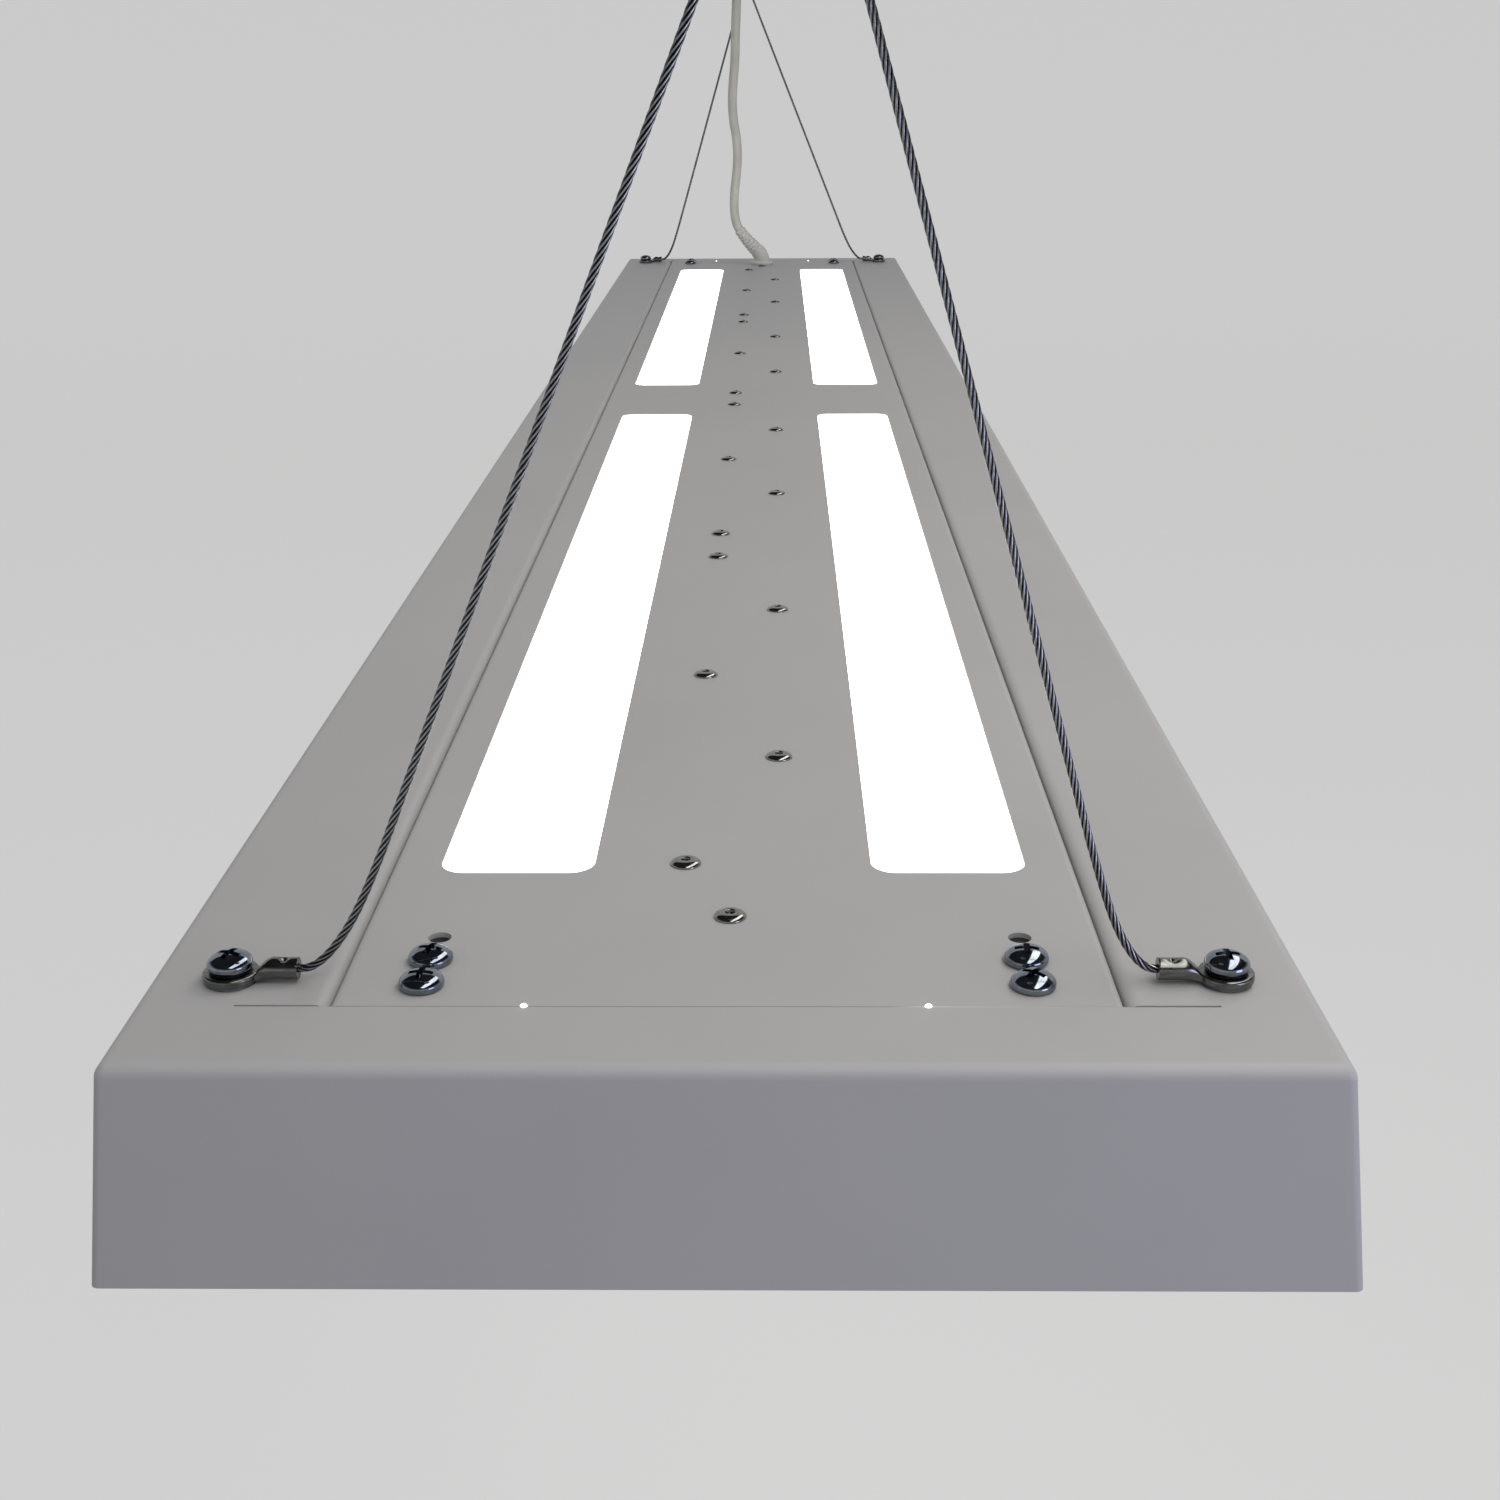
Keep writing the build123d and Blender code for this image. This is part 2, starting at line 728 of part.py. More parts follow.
with BuildPart() as diffuser:
    with BuildSketch(Plane.XY.offset(diffuser_z)):
        Rectangle(bottom_width - diffuser_loss, bottom_length - diffuser_loss)
    extrude(amount=diffuser_thickness)
diffuser.part.label = "bottom_diffuser"
export_step(diffuser.part, "parts/bottom_diffuser.step")

# Angled strain relief on the panel
relief_way = Vector(-math.sin(math.radians(relief_angle)), 0, math.cos(math.radians(relief_angle)))
relief_centre = Vector(0, relief_y, top_z + relief_knee)
relief_mouth = relief_centre + relief_way * relief_reach
relief_end_z = bracket_under_z - relief_nut_height - relief_tail

with BuildPart() as relief:
    with BuildSketch(Plane.XY.offset(top_z)):
        with Locations((0, relief_y)):
            Circle(relief_flange / 2)
    extrude(amount=relief_flange_height)
    fillet(relief.faces().sort_by(Axis.Z)[-1].edges(), relief_flange_height / 3)
    with BuildSketch(Plane.XY.offset(relief_end_z)):
        with Locations((0, relief_y)):
            Circle(relief_shank / 2)
    extrude(amount=top_z - relief_end_z)
    with BuildSketch(Plane.XY.offset(top_z)):
        with Locations((0, relief_y)):
            Circle(relief_neck / 2)
    extrude(amount=relief_knee)
    with Locations(relief_centre):
        Sphere(relief_neck / 2)
    with BuildSketch(Plane(origin=relief_centre, z_dir=relief_way)):
        Circle(relief_neck / 2)
    extrude(amount=relief_reach)
    with BuildSketch(Plane(origin=relief_mouth, z_dir=relief_way)):
        Circle(cord_diameter / 2 + cord_fit)
    extrude(amount=-relief_socket, mode=Mode.SUBTRACT)
relief.part.label = "cord_relief"
export_step(relief.part, "parts/cord_relief.step")

with BuildPart() as relief_nut_part:
    with BuildSketch(Plane.XY.offset(bracket_under_z)):
        with Locations((0, relief_y)):
            RegularPolygon(relief_nut / 2, 6, major_radius=False)
            Circle(relief_shank / 2 + thread_clearance, mode=Mode.SUBTRACT)
    extrude(amount=-relief_nut_height)
relief_nut_part.part.label = "relief_nut"
export_step(relief_nut_part.part, "parts/relief_nut.step")

# Supply wires from the strain relief to the terminal block
block_side_x = block_x - block_length / 2
wire_z = relief_end_z - wire_drop
wire_rows = [i - (wire_count - 1) / 2 for i in range(wire_count)]


def supply_wire(row):
    """One insulated conductor: out of the relief's tail, round a bend and into the block's side."""
    y = relief_y + row * wire_pitch
    with BuildPart() as wire:
        with BuildLine() as run:
            FilletPolyline(
                (0, y, relief_end_z),
                (0, y, wire_z),
                (block_side_x, y, wire_z),
                radius=wire_bend,
            )
        with BuildSketch(Plane(origin=run.wire() @ 0, z_dir=run.wire() % 0)):
            Circle(wire_diameter / 2)
        sweep(path=run.wire())
    return wire


with BuildPart() as supply_wires:
    for row in wire_rows:
        add(supply_wire(row).part)
supply_wires.part.label = "supply_wires"
export_step(supply_wires.part, "parts/supply_wires.step")

# Sleeved leads from the terminal block to the drivers
lead_z = block_under_z - lead_drop
lead_end_y = driver_length / 2
lead_end_z = under_z - driver_height / 2


def driver_lead(side):
    """Two-core lead along the hollow side of the tray to one driver's end."""
    lane_x = side * (driver_x + driver_width / 2)
    lane_y = block_y + side * lead_spread / 2
    with BuildPart() as lead:
        with BuildLine() as run:
            FilletPolyline(
                (block_x + lead_tuck - lead_spread, lane_y, block_under_z),
                (block_x + lead_tuck - lead_spread, lane_y, lead_z),
                (lane_x, lane_y, lead_z),
                (lane_x, lead_end_y + 2 * lead_tuck, lead_z),
                (lane_x, lead_end_y + lead_tuck, lead_end_z),
                (lane_x, lead_end_y, lead_end_z),
                radius=lead_bend,
            )
        with BuildSketch(Plane(origin=run.wire() @ 0, z_dir=run.wire() % 0)):
            Circle(lead_diameter / 2)
        sweep(path=run.wire())
    return lead


with BuildPart() as driver_leads:
    add(driver_lead(-1).part)
    add(driver_lead(1).part)
driver_leads.part.label = "driver_leads"
export_step(driver_leads.part, "parts/driver_leads.step")


# Ceiling discs
def ceiling_disc(end):
    """Turned disc with two screw holes for the ceiling and a stud hole for the fork."""
    hook = hook_point(end)
    with BuildPart() as disc:
        with BuildSketch(Plane.XY):
            with Locations((hook.X, hook.Y)):
                Circle(disc_diameter / 2)
        extrude(amount=-disc_thickness)
        fillet(disc.faces().sort_by(Axis.Z)[0].edges(), disc_edge)
        with BuildSketch(Plane.XY):
            with Locations((hook.X, hook.Y)):
                Circle(fork_stud / 2 + fork_stud_clearance)
                with GridLocations(disc_hole_spacing, 0, 2, 1):
                    Circle(disc_hole / 2)
            if end > 0:
                with Locations((bushing_x, bushing_y)):
                    Circle(bushing_body / 2 + bushing_clearance)
        extrude(amount=-disc_thickness, mode=Mode.SUBTRACT)
    return disc


near_disc = ceiling_disc(-1)
near_disc.part.label = "near_disc"
export_step(near_disc.part, "parts/near_disc.step")

far_disc = ceiling_disc(1)
far_disc.part.label = "far_disc"
export_step(far_disc.part, "parts/far_disc.step")

# Swivel forks under the discs
ear_inside = cross_block / 2 + ear_gap
ear_outside = ear_inside + ear_thickness


def swivel_fork(end):
    """Fork whose two ears carry the cross on the line that joins both hooks."""
    hook = hook_point(end)
    with BuildPart() as fork:
        with BuildSketch(Plane.XY):
            with Locations((hook.X, hook.Y)):
                Circle(fork_stud / 2)
        extrude(amount=-disc_thickness)
        with BuildSketch(Plane.XY.offset(-disc_thickness)):
            with Locations((hook.X, hook.Y)):
                Circle(fork_boss / 2)
        extrude(amount=-fork_boss_height)
        with BuildSketch(Plane.XY.offset(-disc_thickness - fork_boss_height)):
            with Locations((hook.X, hook.Y)):
                with GridLocations(0, ear_inside + ear_outside, 1, 2):
                    Rectangle(ear_width, ear_thickness)
        extrude(amount=-(pivot_drop - fork_boss_height))
        with BuildSketch(Plane(origin=hook - Vector(0, ear_outside, 0), z_dir=(0, 1, 0))):
            Circle(ear_width / 2)
        extrude(amount=ear_thickness)
        with BuildSketch(Plane(origin=hook + Vector(0, ear_inside, 0), z_dir=(0, 1, 0))):
            Circle(ear_width / 2)
        extrude(amount=ear_thickness)
        with BuildSketch(Plane(origin=hook, z_dir=hook_line)):
            Circle(trunnion / 2 + trunnion_clearance)
        extrude(amount=2 * ear_outside, both=True, mode=Mode.SUBTRACT)
    return fork


near_fork = swivel_fork(-1)
near_fork.part.label = "near_fork"
export_step(near_fork.part, "parts/near_fork.step")

far_fork = swivel_fork(1)
far_fork.part.label = "far_fork"
export_step(far_fork.part, "parts/far_fork.step")


def swivel_cross(end):
    """Cross with one pair of trunnions in the fork and one pair in the yoke."""
    hook = hook_point(end)
    with BuildPart() as cross:
        with Locations(hook):
            Box(cross_block, cross_block, cross_block)
        with BuildSketch(Plane(origin=hook, z_dir=hook_line)):
            Circle(trunnion / 2)
        extrude(amount=ear_outside, both=True)
        with BuildSketch(Plane(origin=hook, z_dir=(1, 0, 0))):
            Circle(trunnion / 2)
        extrude(amount=ear_outside, both=True)
    return cross


near_cross = swivel_cross(-1)
near_cross.part.label = "near_cross"
export_step(near_cross.part, "parts/near_cross.step")

far_cross = swivel_cross(1)
far_cross.part.label = "far_cross"
export_step(far_cross.part, "parts/far_cross.step")

# Slings: each wire rope runs from a ring terminal's barrel, round its knee and up to the yoke
socket_z = pivot_z - yoke_drop - yoke_bar + socket_depth
stub_x = barrel_end_x + ring_reach
sling_knee_x = barrel_end_x - sling_lead_out
sling_rise_x = sling_knee_x - sling_rise_run


def sling_points(end, side):
    """Corner points of one wire rope, from its end in the barrel to its end in the yoke."""
    hook = hook_point(end)
    return [
        Vector(side * stub_x, hook.Y, barrel_z),
        Vector(side * sling_knee_x, hook.Y, barrel_z),
        Vector(side * sling_rise_x, hook.Y, top_z + sling_rise_z),
        Vector(hook.X + side * socket_offset, hook.Y, socket_z),
    ]


def sling_yoke(end):
    """Yoke that swings on the cross and holds the top ends of two wire ropes."""
    hook = hook_point(end)
    with BuildPart() as yoke:
        with BuildSketch(Plane.XY.offset(pivot_z - yoke_drop)):
            with Locations((hook.X, hook.Y)):
                Rectangle(yoke_span, ear_width)
        extrude(amount=-yoke_bar)
        fillet(yoke.edges().filter_by(Axis.Z), yoke_edge)
        with BuildSketch(Plane.XY.offset(pivot_z - yoke_drop)):
            with Locations((hook.X, hook.Y)):
                with GridLocations(ear_inside + ear_outside, 0, 2, 1):
                    Rectangle(ear_thickness, ear_width)
        extrude(amount=yoke_drop)
        with BuildSketch(Plane(origin=hook - Vector(ear_outside, 0, 0), z_dir=(1, 0, 0))):
            Circle(ear_width / 2)
        extrude(amount=ear_thickness)
        with BuildSketch(Plane(origin=hook + Vector(ear_inside, 0, 0), z_dir=(1, 0, 0))):
            Circle(ear_width / 2)
        extrude(amount=ear_thickness)
        with BuildSketch(Plane(origin=hook, z_dir=(1, 0, 0))):
            Circle(trunnion / 2 + trunnion_clearance)
        extrude(amount=2 * ear_outside, both=True, mode=Mode.SUBTRACT)
        for side in (-1, 1):
            points = sling_points(end, side)
            down = (points[2] - points[3]).normalized()
            with BuildSketch(Plane(origin=points[3] - down * cable_clearance, z_dir=down)):
                Circle(cable_diameter / 2 + cable_clearance)
            extrude(amount=3 * socket_depth, mode=Mode.SUBTRACT)
    return yoke


near_yoke = sling_yoke(-1)
near_yoke.part.label = "near_yoke"
export_step(near_yoke.part, "parts/near_yoke.step")

far_yoke = sling_yoke(1)
far_yoke.part.label = "far_yoke"
export_step(far_yoke.part, "parts/far_yoke.step")


def sling_cable(end, side):
    """One wire rope as a plain round rod along its route."""
    with BuildPart() as cable:
        with BuildLine() as run:
            FilletPolyline(*sling_points(end, side), radius=[sling_knee_radius, sling_rise_radius])
        with BuildSketch(Plane(origin=run.wire() @ 0, z_dir=run.wire() % 0)):
            Circle(cable_diameter / 2)
        sweep(path=run.wire())
    return cable


near_left_cable = sling_cable(-1, -1)
near_left_cable.part.label = "near_left_cable"
export_step(near_left_cable.part, "parts/near_left_cable.step")

near_right_cable = sling_cable(-1, 1)
near_right_cable.part.label = "near_right_cable"
export_step(near_right_cable.part, "parts/near_right_cable.step")

far_left_cable = sling_cable(1, -1)
far_left_cable.part.label = "far_left_cable"
export_step(far_left_cable.part, "parts/far_left_cable.step")

far_right_cable = sling_cable(1, 1)
far_right_cable.part.label = "far_right_cable"
export_step(far_right_cable.part, "parts/far_right_cable.step")

# Bushing where the cord enters the far ceiling disc
with BuildPart() as bushing:
    with BuildSketch(Plane.XY.offset(-disc_thickness)):
        with Locations((bushing_x, bushing_y)):
            Circle(bushing_flange / 2)
    extrude(amount=-bushing_flange_height)
    with BuildSketch(Plane.XY.offset(-disc_thickness)):
        with Locations((bushing_x, bushing_y)):
            Circle(bushing_body / 2)
    extrude(amount=disc_thickness)
    with BuildSketch(Plane.XY):
        with Locations((bushing_x, bushing_y)):
            Circle(cord_diameter / 2 + cord_fit)
    extrude(amount=-disc_thickness - bushing_flange_height, mode=Mode.SUBTRACT)
bushing.part.label = "cord_bushing"
export_step(bushing.part, "parts/cord_bushing.step")

# Supply cord: out of the strain relief, up in lazy waves and into the ceiling bushing
cord_start = relief_mouth - relief_way * (relief_socket - cord_fit)
cord_points = [
    cord_start,
    relief_mouth + relief_way * cord_lead_out,
    Vector(-20.2, relief_y - 0.6, top_z + 33.0),
    Vector(-20.4, relief_y - 1.6, top_z + 50.0),
    Vector(-17.6, relief_y - 2.8, top_z + 69.0),
    Vector(-17.6, relief_y - 4.0, top_z + 87.0),
    Vector(-20.8, relief_y - 5.0, top_z + 104.0),
    Vector(-21.0, relief_y - 6.0, top_z + 121.0),
    Vector(-18.8, relief_y - 7.0, top_z + 141.0),
    Vector(-18.4, relief_y - 8.2, top_z + 161.0),
    Vector(-17.3, relief_y - 9.4, top_z + 181.0),
    Vector(bushing_x, bushing_y, top_z + 200.0),
    Vector(bushing_x, bushing_y, -disc_thickness),
]
cord_runs = [b - a for a, b in zip(cord_points, cord_points[1:])]
cord_radii = [
    0.45 * min(a.length, b.length) / math.tan(math.radians(a.get_angle(b) / 2))
    for a, b in zip(cord_runs, cord_runs[1:])
]

with BuildPart() as cord:
    with BuildLine() as cord_route:
        FilletPolyline(*cord_points, radius=cord_radii)
    with BuildSketch(Plane(origin=cord_route.wire() @ 0, z_dir=cord_route.wire() % 0)):
        Circle(cord_diameter / 2)
    sweep(path=cord_route.wire())
cord.part.label = "supply_cord"
export_step(cord.part, "parts/supply_cord.step")

cord_section = math.pi * cord_diameter**2 / 4
print("cord radii", [round(r, 1) for r in cord_radii])
print("cord length", round(cord_route.wire().length, 2))
print("cord volume over section times length", cord.part.volume / (cord_section * cord_route.wire().length))
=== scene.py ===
"""Looks of a linear LED pendant light, built around its packed CAD model.

Lengths are in metres unless a name ends in _mm.  +Z is up and +Y runs along the tray, away from its near end.
"""
import math

import bmesh
import bpy
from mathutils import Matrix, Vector


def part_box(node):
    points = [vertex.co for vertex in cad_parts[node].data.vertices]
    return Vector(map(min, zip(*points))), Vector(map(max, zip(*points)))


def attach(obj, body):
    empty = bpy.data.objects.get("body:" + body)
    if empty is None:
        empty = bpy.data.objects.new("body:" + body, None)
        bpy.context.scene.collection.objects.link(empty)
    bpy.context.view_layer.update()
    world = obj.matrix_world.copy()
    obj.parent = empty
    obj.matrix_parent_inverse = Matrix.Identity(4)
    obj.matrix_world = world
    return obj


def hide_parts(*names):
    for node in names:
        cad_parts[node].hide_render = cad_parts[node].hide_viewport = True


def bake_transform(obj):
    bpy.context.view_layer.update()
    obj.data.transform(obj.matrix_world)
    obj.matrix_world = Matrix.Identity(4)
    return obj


bl_info = {
    "name": "LED Pendant Light",
    "version": (1, 0, 0),
    "blender": (4, 5, 0),
    "location": "3D View > Sidebar > Pendant",
    "description": "Builds the visible pieces, finishes and stage of a linear LED pendant light",
    "category": "Object",
}

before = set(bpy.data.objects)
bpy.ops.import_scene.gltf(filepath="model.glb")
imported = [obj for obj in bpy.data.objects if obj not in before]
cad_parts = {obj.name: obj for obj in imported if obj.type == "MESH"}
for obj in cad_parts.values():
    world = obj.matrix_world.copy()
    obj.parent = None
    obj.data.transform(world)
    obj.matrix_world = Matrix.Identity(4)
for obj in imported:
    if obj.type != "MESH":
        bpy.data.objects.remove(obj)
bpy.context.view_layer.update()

MM = 0.001
TOP_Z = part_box("tray")[1].z

# Camera fitted to the tray's corners in the photograph
CAMERA_PLACE_MM = (8.1209, -876.6027, -68.1951)
CAMERA_TURN_DEGREES = (69.5644, 0.2837, 0.6464)
CAMERA_LENS_MM = 45.555

# Supply cord's route, from the strain relief up to the ceiling bushing, and where it leaves the relief
CORD_ROUTE_MM = [
    (-3.571, 566.0, -211.929), (-15.556, 566.0, -199.944), (-20.2, 565.4, -189.0), (-20.4, 564.4, -172.0),
    (-17.6, 563.2, -153.0), (-17.6, 562.0, -135.0), (-20.8, 561.0, -118.0), (-21.0, 560.0, -101.0),
    (-18.8, 559.0, -81.0), (-18.4, 557.8, -61.0), (-17.3, 556.6, -41.0), (-17.0, 556.0, -22.0),
    (-17.0, 556.0, -3.0),
]
CORD_EXIT_MM = (-9.192, 566.0, -206.308)
RELIEF_Y_MM = 566.0
# The cord crosses three joints, so it is built in runs: name, body below, body above, height of its top end
CORD_RUNS_MM = [
    ("supply_cord_lower", "lamp", "far_sling", -86.0),
    ("supply_cord_middle", "far_sling", "swivels", -44.5),
    ("supply_cord_upper", "swivels", "ceiling", -3.0),
]

# Wire ropes' routes, across and up: end and mouth of the barrel, knee, rise, two of the bow, straight run
LONG_ROPE_MM = [
    (-79.6, -219.5), (-76.2, -219.5), (-72.0, -219.5), (-66.4, -213.2),
    (-61.3, -203.5), (-54.1, -186.0), (5.8, -39.9), (8.5, -33.0),
]
SHORT_ROPE_MM = [
    (79.6, -219.5), (76.2, -219.5), (72.4, -219.5), (67.9, -213.2),
    (64.3, -203.5), (58.9, -186.0), (15.6, -40.2), (13.5, -33.0),
]
# The far sling is the near one turned half round
NEAR, FAR = -1, 1
SLING_Y_MM = 579.6
ROPES = [
    ("near_left_cable", LONG_ROPE_MM, NEAR), ("near_right_cable", SHORT_ROPE_MM, NEAR),
    ("far_left_cable", SHORT_ROPE_MM, FAR), ("far_right_cable", LONG_ROPE_MM, FAR),
]

# Hole for a hanger screw, places of the notches in the panel's end seams, and half the length of a seam
SCREW_HOLE_MM = 2.15
NOTCH_X_MM = 34.5
SEAM_HALF_MM = 68.0

NOISE = "ShaderNodeTexNoise"
RAMP = "ShaderNodeValToRGB"
RANGE = "ShaderNodeMapRange"
MATH = "ShaderNodeMath"
MAPPING = "ShaderNodeMapping"
PARTS = "ShaderNodeSeparateXYZ"
METAL = {"Metallic": 1.0}


def linear(hex_colour):
    """Turn an sRGB hex value into a linear colour with full alpha."""
    parts = [int(hex_colour[i:i + 2], 16) / 255 for i in (1, 3, 5)]
    return tuple(c / 12.92 if c <= 0.04045 else ((c + 0.055) / 1.055) ** 2.4 for c in parts) + (1.0,)


def shade(colour, share):
    """The same colour, darker or lighter."""
    return tuple(c * share for c in colour[:3]) + (1.0,)


def metres(points_mm):
    """Points in millimetres as vectors in metres."""
    return [Vector(p) * MM for p in points_mm]


def per_metre(size_mm):
    """Texture scale at which one cell of the pattern is this many millimetres."""
    return 1.0 / (size_mm * MM)


def circle(sides):
    """Cosine and sine of even steps round a circle."""
    return [(math.cos(2 * math.pi * k / sides), math.sin(2 * math.pi * k / sides)) for k in range(sides)]


def quarter(steps, first=1):
    """Cosine and sine of even steps up to a right angle."""
    angles = [math.pi / 2 * i / steps for i in range(first, steps + 1)]
    return [(math.cos(angle), math.sin(angle)) for angle in angles]


def node(tree, kind, sockets=None, stops=(), **settings):
    """Add a node with its settings and colour stops, set or link its sockets, and return its outputs."""
    made = tree.nodes.new(kind)
    for name, value in settings.items():
        setattr(made, name, value)
    for name, value in (sockets or {}).items():
        if isinstance(value, bpy.types.NodeSocket):
            tree.links.new(value, made.inputs[name])
        else:
            made.inputs[name].default_value = value
    while stops and len(made.color_ramp.elements) < len(stops):
        made.color_ramp.elements.new(0.5)
    for element, (position, colour) in zip(made.color_ramp.elements if stops else (), stops):
        element.position = position
        element.color = linear(colour) if isinstance(colour, str) else colour
    return made.outputs


def surface(tree, gloss, rough, height, strength, depth_mm):
    """Roughness that runs between two values with one pattern, and relief that follows another."""
    spread = node(tree, RANGE, {"Value": gloss, "To Min": rough[0], "To Max": rough[1]})
    bump = node(tree, "ShaderNodeBump", {"Height": height, "Strength": strength, "Distance": depth_mm * MM})
    return {"Roughness": spread["Result"], "Normal": bump["Normal"]}


def seen_ray(tree):
    """1 for what is seen directly, mirrored or through glass, and 0 for what only lights the object."""
    rays = node(tree, "ShaderNodeLightPath")
    direct = node(tree, MATH, {0: rays["Is Camera Ray"], 1: rays["Is Glossy Ray"]}, operation="MAXIMUM")[0]
    return node(tree, MATH, {0: direct, 1: rays["Is Transmission Ray"]}, operation="MAXIMUM")[0]


def new_finish(make, *values):
    """New material, named like the function that works out its shader's sockets."""
    material = bpy.data.materials.new(make.__name__)
    material.use_nodes = True
    tree = material.node_tree
    tree.nodes.clear()
    place = node(tree, "ShaderNodeTexCoord")["Object"]
    shader = node(tree, "ShaderNodeBsdfPrincipled", make(tree, place, *values))
    node(tree, "ShaderNodeOutputMaterial", {"Surface": shader["BSDF"]})
    return material


class PendantPaint(bpy.types.PropertyGroup):
    """Colours of the painted and moulded pieces."""

    coat: bpy.props.FloatVectorProperty(
        name="Coat", description="Powder coat of the tray and the centre panel",
        subtype="COLOR", size=4, min=0, max=1, default=linear("#a6a6a3"))
    sheath: bpy.props.FloatVectorProperty(
        name="Sheath", description="Outer jacket of the supply cord",
        subtype="COLOR", size=4, min=0, max=1, default=linear("#b4b4ac"))
    nylon: bpy.props.FloatVectorProperty(
        name="Nylon", description="Strain relief, bushing and terminal block",
        subtype="COLOR", size=4, min=0, max=1, default=linear("#bcbcb4"))


class PendantLight(bpy.types.PropertyGroup):
    """How the glowing faces shine."""

    lens_colour: bpy.props.FloatVectorProperty(
        name="Lens Colour", description="Colour of the light in the top windows",
        subtype="COLOR", size=4, min=0, max=1, default=linear("#fffdf8"))
    lens_strength: bpy.props.FloatProperty(
        name="Lens Strength", description="Brightness of the top windows", min=0, max=10, default=3.0)
    diffuser_strength: bpy.props.FloatProperty(
        name="Diffuser Strength", description="Brightness of the bottom diffuser", min=0, max=10, default=0.7)


class PendantFasteners(bpy.types.PropertyGroup):
    """Sizes of the screws, rivets and ring terminals."""

    head_radius: bpy.props.FloatProperty(
        name="Head Radius", description="Radius of a pan head", unit="LENGTH", default=4.0 * MM)
    head_height: bpy.props.FloatProperty(
        name="Head Height", description="Height of a pan head", unit="LENGTH", default=2.9 * MM)
    recess_length: bpy.props.FloatProperty(
        name="Recess Length", description="Tip to tip length of the cross recess",
        unit="LENGTH", default=4.6 * MM)
    recess_width: bpy.props.FloatProperty(
        name="Recess Width", description="Width of one arm of the cross recess",
        unit="LENGTH", default=1.15 * MM)
    turn: bpy.props.FloatProperty(
        name="Turn", description="How far the recesses are turned from each other",
        subtype="ANGLE", default=1.4)
    rivet_radius: bpy.props.FloatProperty(
        name="Rivet Radius", description="Radius of a set rivet's flange", unit="LENGTH", default=3.1 * MM)
    rivet_dome: bpy.props.FloatProperty(
        name="Rivet Dome", description="Height of a set rivet's dome", unit="LENGTH", default=1.1 * MM)
    mandrel_radius: bpy.props.FloatProperty(
        name="Mandrel Radius", description="Radius of the hole that the mandrel left",
        unit="LENGTH", default=0.95 * MM)
    ring_radius: bpy.props.FloatProperty(
        name="Ring Radius", description="Outer radius of a ring terminal", unit="LENGTH", default=4.9 * MM)
    ring_thickness: bpy.props.FloatProperty(
        name="Ring Thickness", description="Thickness of a ring terminal, rolled at its rim",
        unit="LENGTH", default=1.7 * MM)
    barrel_radius: bpy.props.FloatProperty(
        name="Barrel Radius", description="Outer radius of a terminal's barrel",
        unit="LENGTH", default=2.0 * MM)


class PendantRope(bpy.types.PropertyGroup):
    """Build of the wire ropes and of the supply cord."""

    rope_diameter: bpy.props.FloatProperty(
        name="Rope Diameter", description="Diameter round the outer strands", unit="LENGTH", default=1.5 * MM)
    rope_lay: bpy.props.FloatProperty(
        name="Rope Lay", description="Length of one turn of a strand", unit="LENGTH", default=12.0 * MM)
    strands: bpy.props.IntProperty(
        name="Strands", description="Outer strands round the core", min=3, max=12, default=6)
    cord_diameter: bpy.props.FloatProperty(
        name="Cord Diameter", description="Diameter of the supply cord", unit="LENGTH", default=6.5 * MM)


class PendantStage(bpy.types.PropertyGroup):
    """Floor, lamps and backdrop of the picture."""

    floor_colour: bpy.props.FloatVectorProperty(
        name="Floor Colour", description="Pale floor and backdrop",
        subtype="COLOR", size=4, min=0, max=1, default=linear("#d3d3d1"))
    floor_lift: bpy.props.FloatProperty(
        name="Floor Lift", description="How much paler the floor is seen than it is lit",
        min=0, max=1, default=0.73)
    floor_drop: bpy.props.FloatProperty(
        name="Floor Drop", description="Depth of the floor below the ceiling line",
        unit="LENGTH", default=1.25)
    key_power: bpy.props.FloatProperty(
        name="Key Power", description="Power of the soft box overhead on the right",
        unit="POWER", default=6.0)
    fill_power: bpy.props.FloatProperty(
        name="Fill Power", description="Power of the cool panel in front", unit="POWER", default=1.15)
    back_power: bpy.props.FloatProperty(
        name="Back Power", description="Power of the low panel behind the far end", unit="POWER", default=2.4)
    sky: bpy.props.FloatProperty(
        name="Sky", description="Strength of the even light from all round", min=0, max=2, default=0.66)


def powder_coat_satin_baked(tree, place, colour):
    """White powder coat, sprayed and baked on folded steel: a soft satin skin with shallow orange peel."""
    # The peel is 1.5 mm across on the real coat, and it breaks up the edge of each highlight
    peel = node(tree, NOISE, {
        "Vector": place, "Scale": per_metre(1.5), "Detail": 2.0, "Roughness": 0.4})["Fac"]
    # Handling leaves wide, faint clouds that only show as a change of gloss and tone
    cloud = node(tree, NOISE, {
        "Vector": place, "Scale": per_metre(90), "Detail": 3.0, "Roughness": 0.55})["Fac"]
    tones = [(0.3, shade(colour, 0.96)), (0.7, shade(colour, 1.03))]
    return {
        "Base Color": node(tree, RAMP, {"Fac": cloud}, tones)["Color"],
        **surface(tree, cloud, (0.45, 0.58), peel, 0.22, 0.06), "IOR": 1.46}


